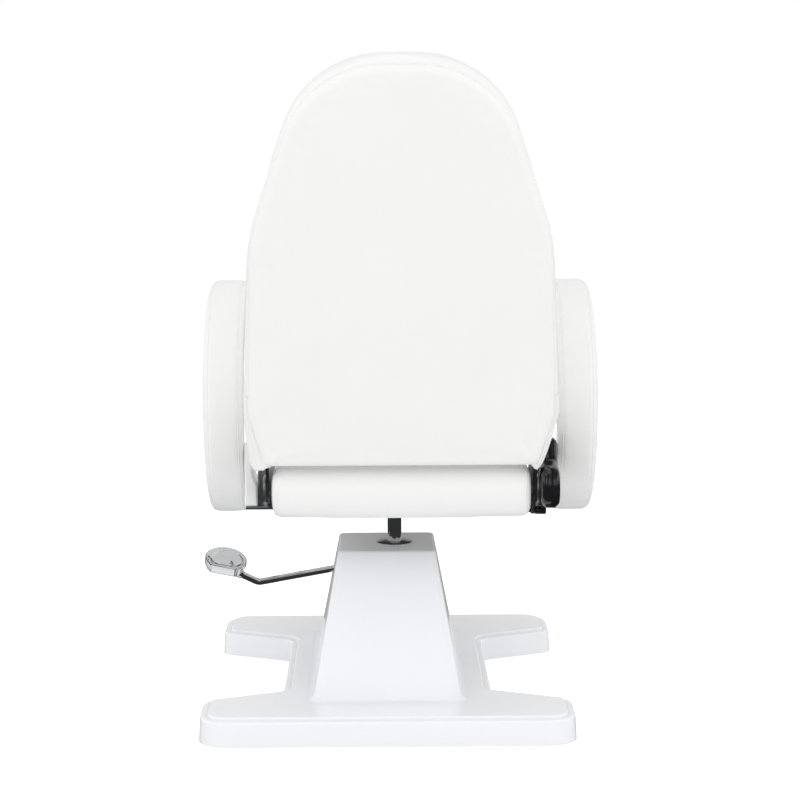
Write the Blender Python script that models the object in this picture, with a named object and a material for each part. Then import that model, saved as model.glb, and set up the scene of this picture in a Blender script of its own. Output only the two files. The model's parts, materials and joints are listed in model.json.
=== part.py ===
"""Hydraulic pedicure spa chair: H-shaped base, pump and lift, swivelling seat, reclining back, leg rest, armrests.

World frame: metres, +Z up, floor at Z = 0, origin on the floor under the swivel axis. The chair faces +Y.
"""

import math

import bmesh
import bpy
from mathutils import Matrix, Vector

GAP = 0.0004  # air left between two pieces that touch

# Base: an H in plan, with a tapered column over the pump
BASE_X = -0.016  # the base's centre line stands left of the pump, which leaves room for the pedal linkage
BASE_Y = 0.020  # and its middle stands forward of the pump, under the load
BASE_WIDTH = 0.705
BASE_LENGTH = 0.855
BASE_TIP_INNER_Y = 0.274  # where a beam's tip ends, towards the base's middle
BEAM_ROOT_Y = 0.208  # where a beam's inner edge meets the web
WEB_HALF_WIDTH = 0.203
SKIRT_HEIGHT = 0.047
PANEL_HEIGHT = 0.053
PANEL_INSET = 0.016
COLUMN_TOP_Z = 0.305
COLUMN_TOP_HALF = (0.0955, 0.096)
COLUMN_FOOT_HALF = (0.142, 0.289)
COLUMN_FLARE = 0.012  # radius of the fillet round the column's foot
COVER_WALL = 0.004
COVER_HOLE_RADIUS = 0.035
STEEL_BAR = 0.008  # thickness of the flat steel under the cover

# Pump and lift
FLANGE_RADIUS = 0.078
RESERVOIR_RADIUS = 0.060
RESERVOIR_TOP_Z = 0.140
TUBE_RADIUS = 0.034
TUBE_TOP_Z = 0.262
BORE_RADIUS = 0.0185
ROD_RADIUS = 0.014
ROD_BOTTOM_Z = 0.026
ROD_TOP_Z = 0.3895
GLAND_TOP_Z = 0.286
RUN_GAP = 0.0006  # radial clearance of turning and sliding fits

# Pump pedal
PEDAL_PIVOT = (-0.058, 0.262)  # X, Z
LEVER_BEND = (-0.274, 0.2235)
LEVER_END = (-0.318, 0.2445)
LEVER_TALL = 0.012
LEVER_WIDE = 0.014
PLUNGER_X = -0.088
PLUNGER_RADIUS = 0.006
PLUNGER_TOP_Z = 0.2500
PLUNGER_COLLAR_Z = 0.2435  # top of the collar that the spring lifts, clear of the lever at the end of its stroke
BARREL_TOP_Z = 0.205
BARREL_BORE_Z = 0.134
PEDAL_CENTRE = (-0.340, -0.008, 0.268)

# Seat
SEAT_X = 0.012  # the upholstery's centre line, from the swivel axis
SEAT_BOTTOM_Z = 0.405
SEAT_THICK = 0.088
SEAT_HALF_WIDTH = 0.2465
ROLL = SEAT_THICK / 2  # the seat's ends are rolls, concentric with the back's and the leg rest's hinges
PIVOT_Z = SEAT_BOTTOM_Z + ROLL
BACK_PIVOT_Y = -0.225
LEG_PIVOT_Y = 0.236
SOCKET_BOTTOM_Z = 0.366
BAR_TOP_Z = SEAT_BOTTOM_Z - GAP  # flat bars lie under the seat board
BAR_BOTTOM_Z = BAR_TOP_Z - 0.006
RAIL_TOP_Z = BAR_BOTTOM_Z - GAP

# Layers beside the seat, outwards from its centre line
ARM_BAR_IN, ARM_BAR_OUT = 0.2500, 0.2560
PLATE_IN, PLATE_OUT = 0.2565, 0.2615
CAP_IN, CAP_OUT = 0.2622, 0.2985

# Backrest, in its own frame: origin on the hinge, Z up along the back, Y forward
BACK_LEAN = math.radians(12)
BACK_BOTTOM = 0.062
BACK_TOP = 0.832
BACK_FRONT = ROLL
BACK_MIDDLE = -0.032  # where the cushion meets the rear panel
BACK_REAR = -0.052

# Recline lock: a pawl under the seat's right side meets teeth on the back's right arm
RATCHET_RADIUS = 0.024
RATCHET_TEETH = 30
RELEASE_AXIS = (-0.175, 0.399)  # Y, Z

# Leg rest, in its own frame: origin on the hinge, Y out along the pad
LEG_DROP = math.radians(15)
LEG_START = 0.062
LEG_END = 0.460
CROSS_START, CROSS_END = 0.208, 0.240  # the bar under the leg rest, between its arms' tabs

# Armrests: a padded C in side view
ARM_IN, ARM_OUT = 0.3025, 0.3810
ARM_CENTRE = (0.060, 0.594)  # Y, Z of the C's centre
ARM_RADIUS = 0.230
ARM_THICK = 0.065
ARM_TOP_REACH = 0.190
ARM_FOOT_REACH = 0.060
ARM_PIVOT = (-0.095, 0.478)  # Y, Z


# ---------------------------------------------------------------- scene and materials

def clear_scene():
    for obj in list(bpy.data.objects):
        bpy.data.objects.remove(obj, do_unlink=True)


def material(name, color, roughness, metallic=0.0):
    made = bpy.data.materials.new(name)
    made.use_nodes = True
    shader = made.node_tree.nodes["Principled BSDF"]
    shader.inputs["Base Color"].default_value = (*color, 1.0)
    shader.inputs["Roughness"].default_value = roughness
    shader.inputs["Metallic"].default_value = metallic
    return made


clear_scene()
VINYL = material("white_vinyl", (0.88, 0.88, 0.87), 0.42)
ABS = material("white_abs", (0.84, 0.85, 0.88), 0.22)
CHROME = material("chrome", (0.75, 0.76, 0.78), 0.08, 1.0)
STEEL = material("grey_steel", (0.42, 0.43, 0.44), 0.38, 1.0)
DARK_PAINT = material("black_painted_steel", (0.02, 0.02, 0.02), 0.35)
BLACK_PLASTIC = material("black_gloss_plastic", (0.012, 0.012, 0.013), 0.15)
RUBBER = material("black_rubber", (0.02, 0.02, 0.02), 0.8)
BRONZE = material("bronze", (0.62, 0.43, 0.20), 0.3, 1.0)
BOARD = material("white_board", (0.78, 0.77, 0.745), 0.55)


def empty(name, location, parent=None, rotation_x=0.0):
    made = bpy.data.objects.new(name, None)
    made.location = location
    made.rotation_euler = (rotation_x, 0.0, 0.0)
    made.parent = parent
    bpy.context.scene.collection.objects.link(made)
    return made


# ---------------------------------------------------------------- outlines, as lists of (u, v)

def rounded(corners, steps=5):
    """Outline through corners (u, v, radius); each radius above 0 becomes an arc of steps + 1 points."""
    outline = []
    count = len(corners)
    for i, (u, v, radius) in enumerate(corners):
        here = Vector((u, v))
        back = (Vector(corners[i - 1][:2]) - here).normalized()
        ahead = (Vector(corners[(i + 1) % count][:2]) - here).normalized()
        if radius <= 0:
            outline.append((u, v))
            continue
        half = back.angle(ahead) / 2
        centre = here + (back + ahead).normalized() * radius / math.sin(half)
        start = here + back * radius / math.tan(half) - centre
        turn = start.angle_signed(here + ahead * radius / math.tan(half) - centre)
        for k in range(steps + 1):
            spoke = start.copy()
            spoke.rotate(Matrix.Rotation(-turn * k / steps, 2))
            outline.append(tuple(centre + spoke))
    return outline


def inset(corners, depth):
    """Corners (u, v, radius) of a counterclockwise polygon moved inwards by depth, radii kept concentric."""
    moved = []
    count = len(corners)
    for i, (u, v, radius) in enumerate(corners):
        here = Vector((u, v))
        before = (here - Vector(corners[i - 1][:2])).normalized()
        after = (Vector(corners[(i + 1) % count][:2]) - here).normalized()
        normal_a = Vector((-before.y, before.x))
        normal_b = Vector((-after.y, after.x))
        middle = (normal_a + normal_b).normalized()
        place = here + middle * depth / max(0.2, middle.dot(normal_a))
        convex = before.x * after.y - before.y * after.x > 0
        new_radius = max(0.0005, radius - depth if convex else radius + depth) if radius > 0 else 0
        moved.append((place.x, place.y, new_radius))
    return moved


def mirrored(half):
    """Counterclockwise polygon from its right half, listed from bottom to top; u = 0 is the mirror line."""
    return half + [(-u, v, radius) for u, v, radius in reversed(half)]


def circle(radius, segments, centre=(0.0, 0.0)):
    angles = [2 * math.pi * k / segments for k in range(segments)]
    return [(centre[0] + radius * math.cos(a), centre[1] + radius * math.sin(a)) for a in angles]


def on_axis(axis, u, v, w):
    """A point at w along the axis and (u, v) across it."""
    return {"X": (w, u, v), "Y": (u, w, v), "Z": (u, v, w)}[axis]


# ---------------------------------------------------------------- solids

def as_object(name, bm, finish, parent, location=(0, 0, 0)):
    bmesh.ops.recalc_face_normals(bm, faces=bm.faces)
    mesh = bpy.data.meshes.new(name)
    bm.to_mesh(mesh)
    bm.free()
    mesh.materials.append(finish)
    mesh.shade_smooth()
    mesh.set_sharp_from_angle(angle=math.radians(35))
    return place_mesh(name, mesh, parent, location)


def place_mesh(name, mesh, parent, location):
    made = bpy.data.objects.new(name, mesh)
    made.location = location
    made.parent = parent
    bpy.context.scene.collection.objects.link(made)
    return made


def loft(rings):
    """Closed mesh through rings of equal point counts, with a flat cap on the first and the last."""
    bm = bmesh.new()
    loops = [[bm.verts.new(point) for point in ring] for ring in rings]
    count = len(loops[0])
    for low, high in zip(loops, loops[1:]):
        for k in range(count):
            bm.faces.new((low[k], low[(k + 1) % count], high[(k + 1) % count], high[k]))
    bm.faces.new(loops[0][::-1])
    bm.faces.new(loops[-1])
    return bm


def slab(name, corners, axis, low, high, finish, parent, edge=0.0, edge_steps=2, steps=5):
    """A polygon given by its corners, extruded along an axis; edge is the rounding where sides meet faces."""
    levels = [(low, 0.0), (high, 0.0)]
    if edge:
        angles = [math.pi / 2 * k / edge_steps for k in range(edge_steps + 1)]
        levels = [(low + edge * (1 - math.sin(a)), edge * (1 - math.cos(a))) for a in reversed(angles)]
        levels += [(high - edge * (1 - math.sin(a)), edge * (1 - math.cos(a))) for a in angles]
    rings = [
        [on_axis(axis, u, v, level) for u, v in rounded(inset(corners, depth) if depth else corners, steps)]
        for level, depth in levels
    ]
    return as_object(name, loft(rings), finish, parent)


def bar(name, low, high, finish, parent, edge=0.0):
    """A box between two opposite corners, with its long edges along X rounded by edge."""
    corners = [(low[1], low[2], edge), (high[1], low[2], edge), (high[1], high[2], edge), (low[1], high[2], edge)]
    return slab(name, corners, "X", low[0], high[0], finish, parent, steps=2)


def rod(name, axis, radius, low, high, centre, finish, parent, segments=24):
    """A cylinder along an axis; centre is where that axis crosses the plane across it."""
    rings = [
        [on_axis(axis, u, v, level) for u, v in circle(radius, segments, centre)]
        for level in (low, high)
    ]
    return as_object(name, loft(rings), finish, parent)


def turned(name, profile, centre, finish, parent, segments=32):
    """A solid of revolution about a vertical axis; profile is a closed list of (radius, z)."""
    bm = bmesh.new()
    rings = []
    for radius, z in profile:
        if radius < 1e-9:
            rings.append([bm.verts.new((centre[0], centre[1], z))] * segments)
        else:
            rings.append([bm.verts.new((u, v, z)) for u, v in circle(radius, segments, centre)])
    for i, low in enumerate(rings):
        high = rings[(i + 1) % len(rings)]
        for k in range(segments):
            n = (k + 1) % segments
            face = list(dict.fromkeys((low[k], low[n], high[n], high[k])))
            if len(face) > 2:
                bm.faces.new(face)
    return as_object(name, bm, finish, parent)


def boolean(obj, other, operation):
    """Adds or removes another solid, which becomes a hidden helper."""
    modifier = obj.modifiers.new(f"{operation.lower()}_{other.name}", "BOOLEAN")
    modifier.operation = operation
    modifier.solver = "EXACT"
    modifier.object = other
    other.hide_render = True
    other.display_type = "WIRE"


def cut(obj, *cutters):
    for cutter in cutters:
        boolean(obj, cutter, "DIFFERENCE")


def join(obj, *others):
    for other in others:
        boolean(obj, other, "UNION")


# ---------------------------------------------------------------- base

def base_corners():
    """The H's plan, counterclockwise, about the base's own centre."""
    half_width, half_length = BASE_WIDTH / 2, BASE_LENGTH / 2
    right = [
        (half_width, -half_length, 0.055),
        (half_width, -BASE_TIP_INNER_Y, 0.034),
        (WEB_HALF_WIDTH, -BEAM_ROOT_Y, 0.034),
        (WEB_HALF_WIDTH, BEAM_ROOT_Y, 0.034),
        (half_width, BASE_TIP_INNER_Y, 0.034),
        (half_width, half_length, 0.055),
    ]
    return mirrored(right)


def base_shell(name, wall, parent):
    """The beams and web: a skirt, a rounded ledge and a raised panel; wall shrinks it for the inside."""
    levels = [
        (-0.02 if wall else GAP, 0.0),
        (SKIRT_HEIGHT - 0.005 - wall, 0.002),
        (SKIRT_HEIGHT - 0.0015 - wall, 0.0035),
        (SKIRT_HEIGHT - wall, 0.007),
        (SKIRT_HEIGHT - wall, PANEL_INSET - 0.002),
        (PANEL_HEIGHT - 0.002 - wall, PANEL_INSET),
        (PANEL_HEIGHT - wall, PANEL_INSET + 0.003),
    ]
    rings = []
    for z, depth in levels:
        outline = rounded(inset(base_corners(), depth + wall), 4)
        rings.append([(BASE_X + u, BASE_Y + v, z) for u, v in outline])
    return as_object(name, loft(rings), ABS, parent)


def column(name, wall, parent):
    """The tapered column over the pump, from inside the panel up to its flat top; wall shrinks it for the inside."""
    edge = 0.006
    span = COLUMN_TOP_Z - PANEL_HEIGHT
    foot_z = PANEL_HEIGHT - 0.0035 - 5 * wall
    if wall:
        levels = [(foot_z, 0.0)]
    else:
        angles = [math.radians(30 * k) for k in range(4)]
        levels = [(foot_z, -COLUMN_FLARE)]
        levels += [(PANEL_HEIGHT + COLUMN_FLARE * (1 - math.cos(a)), COLUMN_FLARE * (math.sin(a) - 1)) for a in angles]
    levels += [(COLUMN_TOP_Z - edge - wall, 0.0), (COLUMN_TOP_Z - 0.0018 - wall, 0.0018), (COLUMN_TOP_Z - wall, edge)]
    rings = []
    for z, depth in levels:
        share = (COLUMN_TOP_Z - z) / span
        half_x, half_y = (
            top + (foot - top) * share - depth - wall for top, foot in zip(COLUMN_TOP_HALF, COLUMN_FOOT_HALF)
        )
        radius = 0.010 + 0.012 * share
        corners = mirrored([(half_x, -half_y, radius), (half_x, half_y, radius)])
        rings.append([(BASE_X + u, v, z) for u, v in rounded(corners, 4)])
    return as_object(name, loft(rings), ABS, parent)


def make_base_cover(base):
    cover = base_shell("base_cover", 0.0, base)
    join(cover, column("cover_column", 0.0, base))
    hole = rod("cover_hole_cutter", "Z", COVER_HOLE_RADIUS, 0.28, 0.33, (0, 0), ABS, base, segments=40)
    slot = bar("cover_slot_cutter", (-0.17, -0.013, 0.196), (-0.10, 0.013, 0.268), ABS, base)
    cut(cover, base_shell("cover_inside_cutter", COVER_WALL, base))
    cut(cover, column("column_inside_cutter", COVER_WALL, base), hole, slot)


def make_base_steel(base):
    """Flat steel under the cover: a spine with a foot across each end."""
    room = COVER_WALL + 0.004
    foot_half = BASE_WIDTH / 2 - room - 0.006
    outer = BASE_LENGTH / 2 - room - 0.004
    inner = BASE_TIP_INNER_Y + room + 0.004
    for name, side in (("base_foot_rear", -1), ("base_foot_front", 1)):
        low, high = sorted((side * inner, side * outer))
        corners = mirrored([(foot_half, low, 0.040), (foot_half, high, 0.040)])
        corners = [(u + BASE_X, v + BASE_Y, radius) for u, v, radius in corners]
        slab(name, corners, "Z", 0.0, STEEL_BAR, STEEL, base, steps=3)
    spine_half = 0.120
    low, high = (-spine_half, BASE_Y - inner + GAP, 0.0), (spine_half, BASE_Y + inner - GAP, STEEL_BAR)
    bar("base_spine", low, high, STEEL, base)


def make_pump(base):
    bottom = STEEL_BAR + GAP
    flange_top = bottom + STEEL_BAR
    for k in range(4):
        angle = math.radians(45 + 90 * k)
        spot = (0.069 * math.cos(angle), 0.069 * math.sin(angle))
        bolt = [(0, flange_top + GAP), (0.0065, flange_top + GAP), (0.0065, flange_top + 0.006), (0, flange_top + 0.006)]
        turned(f"flange_bolt_{k + 1}", bolt, spot, STEEL, base, segments=6)
    foot = flange_top + GAP
    turned("pump_reservoir",
           [(0, bottom), (FLANGE_RADIUS, bottom), (FLANGE_RADIUS, flange_top), (RESERVOIR_RADIUS, flange_top),
            (RESERVOIR_RADIUS, RESERVOIR_TOP_Z - 0.01), (RESERVOIR_RADIUS - 0.012, RESERVOIR_TOP_Z),
            (TUBE_RADIUS + GAP, RESERVOIR_TOP_Z), (TUBE_RADIUS + GAP, flange_top), (0, flange_top)],
           (0, 0), DARK_PAINT, base)
    turned("pump_tube",
           [(0, foot), (TUBE_RADIUS, foot), (TUBE_RADIUS, TUBE_TOP_Z), (BORE_RADIUS, TUBE_TOP_Z),
            (BORE_RADIUS, foot + 0.004), (0, foot + 0.004)],
           (0, 0), STEEL, base)
    gland = ROD_RADIUS + RUN_GAP
    turned("rod_gland",
           [(gland, TUBE_TOP_Z + GAP), (0.031, TUBE_TOP_Z + GAP), (0.031, GLAND_TOP_Z - 0.004),
            (0.027, GLAND_TOP_Z), (gland, GLAND_TOP_Z)],
           (0, 0), RUBBER, base)
    make_pedal_bracket(base)


def make_pedal_bracket(base):
    """A collar round the tube with two ears for the pedal's pin, and the pump's small barrel."""
    collar_low, collar_high = 0.226, 0.256
    inner = TUBE_RADIUS + GAP
    bracket = turned("pedal_bracket",
                     [(inner, collar_low), (0.042, collar_low), (0.042, collar_high), (inner, collar_high)],
                     (0, 0), DARK_PAINT, base)
    pivot_x, pivot_z = PEDAL_PIVOT
    for name, side in (("ear_near", -1), ("ear_far", 1)):
        low, high = sorted((side * 0.0105, side * 0.0165))
        corners = [(-0.036, 0.230, 0), (-0.036, 0.254, 0), (pivot_x + 0.004, pivot_z + 0.010, 0.006),
                   (pivot_x - 0.010, pivot_z + 0.010, 0.008), (pivot_x - 0.010, pivot_z - 0.012, 0.008)]
        join(bracket, slab(name, corners[::-1], "Y", low, high, DARK_PAINT, base, steps=3))
    pin_radius = 0.005
    cut(bracket, rod("pin_hole_cutter", "Y", pin_radius + GAP, -0.03, 0.03, PEDAL_PIVOT, STEEL, base, segments=20))
    rod("pedal_pin", "Y", pin_radius, -0.021, 0.021, PEDAL_PIVOT, STEEL, base, segments=20)
    bore = PLUNGER_RADIUS + GAP
    barrel = turned("pump_barrel",
                    [(0, 0.100), (0.012, 0.100), (0.012, BARREL_TOP_Z), (bore, BARREL_TOP_Z), (bore, BARREL_BORE_Z),
                     (0, BARREL_BORE_Z)],
                    (PLUNGER_X, 0), STEEL, base, segments=24)
    port = (-RESERVOIR_RADIUS - GAP, 0.008, 0.122)
    join(barrel, bar("barrel_port", (PLUNGER_X + 0.004, -0.008, 0.106), port, STEEL, base))


# ---------------------------------------------------------------- pump pedal and plunger

def lever_outline():
    """Side view of the cranked bar, as a band of even height round its bend."""
    path = [Vector(PEDAL_PIVOT), Vector(LEVER_BEND), Vector(LEVER_END)]
    out = (path[1] - path[0]).normalized()
    up = (path[2] - path[1]).normalized()
    across_out, across_up = Vector((out.y, -out.x)), Vector((up.y, -up.x))
    mitre = (across_out + across_up).normalized()
    half = LEVER_TALL / 2
    reach = half / mitre.dot(across_out)
    above = [path[0] + across_out * half, path[1] + mitre * reach, path[2] + across_up * half]
    below = [path[2] - across_up * half, path[1] - mitre * reach, path[0] - across_out * half]
    radii = (0, 0.010, 0, 0, 0.018, 0)
    return [(point.x, point.y, radius) for point, radius in zip(above + below, radii)]


def make_pedal(pedal):
    pivot = Vector((PEDAL_PIVOT[0], 0.0, PEDAL_PIVOT[1]))
    shift = Matrix.Translation(-pivot)
    half = LEVER_WIDE / 2
    lever = slab("pedal_lever", lever_outline()[::-1], "Y", -half, half, CHROME, pedal, steps=4)
    hub = rod("lever_hub", "Y", 0.0115, -0.0098, 0.0098, PEDAL_PIVOT, CHROME, pedal)
    bore = rod("lever_bore_cutter", "Y", 0.005 + RUN_GAP, -0.03, 0.03, PEDAL_PIVOT, CHROME, pedal, segments=20)
    pad = pedal_pad(pedal)
    socket = slab("lever_socket_cutter", inset(lever_outline()[::-1], -GAP), "Y", -half - GAP, half + GAP,
                  CHROME, pedal, steps=4)
    for piece in (lever, hub, bore, pad, socket):
        piece.data.transform(shift)
    join(lever, hub)
    cut(lever, bore)
    cut(pad, socket)


def pedal_pad(pedal):
    """A cast oval foot pad: thick rim, crowned underside, shallow dish on top, tilted towards the rear."""
    profile = [(0.30, -0.013), (0.70, -0.011), (0.92, -0.006), (1.0, 0.0), (0.97, 0.006), (0.88, 0.009),
               (0.76, 0.007), (0.55, 0.0035), (0.25, 0.002)]
    turn = Matrix.Rotation(math.radians(34), 3, "X") @ Matrix.Rotation(math.radians(12), 3, "Y")
    rings = []
    for share, height in profile:
        ring = []
        for u, v in circle(1.0, 28):
            ring.append(Vector(PEDAL_CENTRE) + turn @ Vector((0.040 * share * u, 0.034 * share * v, height)))
        rings.append(ring)
    return as_object("pedal_pad", loft(rings), CHROME, pedal)


def make_plunger(plunger):
    """The pump's plunger: a pin with a ball end, which the lever presses down, and a collar for its spring."""
    collar, collar_low, foot = 0.010, PLUNGER_COLLAR_Z - 0.0025, BARREL_BORE_Z + 0.018
    profile = [(0, foot), (PLUNGER_RADIUS, foot), (PLUNGER_RADIUS, collar_low), (collar, collar_low),
               (collar, PLUNGER_COLLAR_Z), (PLUNGER_RADIUS, PLUNGER_COLLAR_Z)]
    for k in range(1, 6):
        angle = math.radians(18 * k)
        height = PLUNGER_TOP_Z - PLUNGER_RADIUS * (1 - math.sin(angle))
        profile.append((PLUNGER_RADIUS * math.cos(angle) if k < 5 else 0, height))
    made = turned("pump_plunger", profile, (PLUNGER_X, 0), STEEL, plunger, segments=24)
    made.data.transform(Matrix.Translation((0, 0, -PLUNGER_TOP_Z)))
    spring = bpy.data.curves.new("plunger_spring", "CURVE")
    spring.dimensions = "3D"
    turns, steps, wire = 5, 12, 0.0009
    low, high = BARREL_TOP_Z + wire + GAP, collar_low - wire - GAP
    line = spring.splines.new("POLY")
    line.points.add(turns * steps)
    for k in range(turns * steps + 1):
        angle = 2 * math.pi * k / steps
        z = low + (high - low) * k / (turns * steps) - PLUNGER_TOP_Z
        line.points[k].co = (PLUNGER_X + 0.0084 * math.cos(angle), 0.0084 * math.sin(angle), z, 1.0)
    spring.bevel_depth = wire
    spring.bevel_resolution = 1
    spring.use_fill_caps = True
    spring.materials.append(STEEL)
    place_mesh("plunger_spring", spring, plunger, (0, 0, 0))


# ---------------------------------------------------------------- lift

def make_lift(lift):
    turned("lift_rod",
           [(0, ROD_BOTTOM_Z), (ROD_RADIUS, ROD_BOTTOM_Z), (ROD_RADIUS, ROD_TOP_Z - 0.002),
            (ROD_RADIUS - 0.002, ROD_TOP_Z), (0, ROD_TOP_Z)],
           (0, 0), CHROME, lift, segments=40)
    inner, outer = ROD_RADIUS + GAP, BORE_RADIUS - RUN_GAP
    turned("lift_piston", [(inner, 0.030), (outer, 0.030), (outer, 0.046), (inner, 0.046)],
           (0, 0), RUBBER, lift)


# ---------------------------------------------------------------- seat

def make_hub(swivel):
    bush_out = ROD_RADIUS + 0.0035
    bush_in = ROD_RADIUS + RUN_GAP
    top, roof = RAIL_TOP_Z, ROD_TOP_Z + 0.001
    turned("swivel_socket",
           [(bush_out + GAP, SOCKET_BOTTOM_Z), (0.032, SOCKET_BOTTOM_Z), (0.036, SOCKET_BOTTOM_Z + 0.004),
            (0.036, top), (0, top), (0, roof), (bush_out + GAP, roof)],
           (0, 0), DARK_PAINT, swivel)
    turned("swivel_bush", [(bush_in, SOCKET_BOTTOM_Z + 0.001), (bush_out, SOCKET_BOTTOM_Z + 0.001),
                           (bush_out, roof - 0.002), (bush_in, roof - 0.002)],
           (0, 0), BRONZE, swivel)


def seat_profile():
    """Side view of the seat cushion: a slab whose two ends are rolls about the hinges."""
    rear, front = BACK_PIVOT_Y - ROLL, LEG_PIVOT_Y + ROLL
    radius = ROLL - 0.0002
    top = SEAT_BOTTOM_Z + SEAT_THICK
    return [(rear, SEAT_BOTTOM_Z, radius), (front, SEAT_BOTTOM_Z, radius), (front, top, radius), (rear, top, radius)]


def make_seat(seat):
    recess_rear, recess_front, board_top = -0.172, 0.183, SEAT_BOTTOM_Z + 0.015
    cushion = slab("seat_cushion", seat_profile(), "X", -SEAT_HALF_WIDTH, SEAT_HALF_WIDTH, VINYL, seat,
                   edge=0.016, steps=8)
    cut(cushion, bar("seat_recess_cutter", (-0.215, recess_rear, 0.38), (0.215, recess_front, board_top), VINYL, seat))
    board_low = (-0.213, recess_rear + 0.002, SEAT_BOTTOM_Z)
    bar("seat_board", board_low, (0.213, recess_front - 0.002, board_top - GAP), BOARD, seat)
    bar("rear_cross_bar", (-0.300, -0.150, BAR_BOTTOM_Z), (0.300, -0.110, BAR_TOP_Z), STEEL, seat)
    bar("front_cross_bar", (-PLATE_OUT, 0.150, BAR_BOTTOM_Z), (PLATE_OUT, 0.190, BAR_TOP_Z), STEEL, seat)
    bar("hub_plate", (-0.090, -0.070, BAR_BOTTOM_Z), (0.090, 0.070, BAR_TOP_Z), STEEL, seat)
    for side, name in ((-1, "left"), (1, "right")):
        low, high = sorted((side * 0.050, side * 0.080))
        slab(f"seat_rail_{name}", rail_corners(), "X", low, high, DARK_PAINT, seat, steps=2)


def rail_corners():
    """Side view of a seat rail: its ends taper upwards, and it rests on the cross bars' underside."""
    rear, front, bottom, thin = -0.156, 0.200, RAIL_TOP_Z - 0.026, RAIL_TOP_Z - 0.006
    return [(rear, RAIL_TOP_Z, 0), (rear, thin, 0.003), (rear + 0.085, bottom, 0.02), (front - 0.085, bottom, 0.02),
            (front, thin, 0.003), (front, RAIL_TOP_Z, 0)]


def side_plate_corners(pivot_y, root_low, root_high):
    """Side view of a hinge plate: a foot over the cross bar and a round head about the hinge."""
    side = 1 if pivot_y > 0 else -1
    head = 0.026
    corners = [
        (pivot_y + side * head, PIVOT_Z - head, 0.022),
        (pivot_y + side * head, PIVOT_Z + head, 0.022),
        (pivot_y - side * 0.030, PIVOT_Z + head, 0.012),
        (root_low, PIVOT_Z - 0.010, 0.010),
        (root_low, SEAT_BOTTOM_Z, 0),
        (root_high, SEAT_BOTTOM_Z, 0),
    ]
    return corners if side > 0 else corners[::-1]


def flange_box(side):
    """The hinge plate's stiffening flange, across the space between the seat and the arm's root."""
    low, high = sorted((side * 0.2472, side * 0.2770))
    return (low, -0.136, SEAT_BOTTOM_Z), (high, -0.130, 0.486)


def make_hinges(seat):
    """Fixed plates beside the seat, with the pins that the back and the leg rest turn on."""
    pin_radius = 0.006
    places = (("back", BACK_PIVOT_Y, -0.108, -0.158), ("leg", LEG_PIVOT_Y, 0.148, 0.205))
    for side, name in ((-1, "left"), (1, "right")):
        for place, pivot_y, root_low, root_high in places:
            low, high = sorted((side * PLATE_IN, side * PLATE_OUT))
            plate = slab(f"{place}_hinge_plate_{name}", side_plate_corners(pivot_y, root_low, root_high), "X",
                         low, high, STEEL, seat, steps=4)
            pin_low, pin_high = sorted((side * (ARM_BAR_IN - 0.0015), side * (PLATE_OUT - 0.0002)))
            centre = (pivot_y, PIVOT_Z)
            if place == "back":
                join(plate, bar(f"plate_flange_{name}", *flange_box(side), STEEL, seat))
            cut(plate, rod(f"{place}_plate_cutter_{name}", "X", pin_radius + GAP, low - 0.01, high + 0.01,
                           centre, STEEL, seat, segments=20))
            rod(f"{place}_hinge_pin_{name}", "X", pin_radius, pin_low, pin_high, centre, STEEL, seat, segments=20)


def make_hinge_cap(seat):
    """Glossy black cover over the ratchet hinge, on the right only."""
    corners = [(-0.281, 0.419, 0.030), (-0.166, 0.419, 0.014), (-0.163, 0.542, 0.016), (-0.193, 0.542, 0.012),
               (-0.212, 0.503, 0.020), (-0.281, 0.494, 0.036)]
    slab("hinge_cap_right", corners, "X", CAP_IN, CAP_OUT, BLACK_PLASTIC, seat, edge=0.012, edge_steps=3, steps=4)


def make_arm_roots(seat):
    """Vinyl-covered blocks on the cross bar that carry the armrests."""
    top = 0.525
    for side, name in ((-1, "left"), (1, "right")):
        corners = [(0.2775, SEAT_BOTTOM_Z, 0.003), (ARM_IN - GAP, SEAT_BOTTOM_Z, 0.003),
                   (ARM_IN - GAP, top, 0.003), (0.2900, top, 0.005), (0.2860, 0.462, 0.02), (0.2775, 0.446, 0.02)]
        corners = [(side * u, v, radius) for u, v, radius in corners]
        block = slab(f"arm_root_{name}", corners if side > 0 else corners[::-1], "Y", -0.150, -0.062, VINYL, seat,
                     edge=0.003, edge_steps=1, steps=3)
        low, high = sorted((side * 0.284, side * (ARM_IN + 0.030)))
        cut(block, rod(f"root_cutter_{name}", "X", 0.0074, low - 0.002, high, ARM_PIVOT, STEEL, seat, segments=20))


# ---------------------------------------------------------------- recline release

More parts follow.
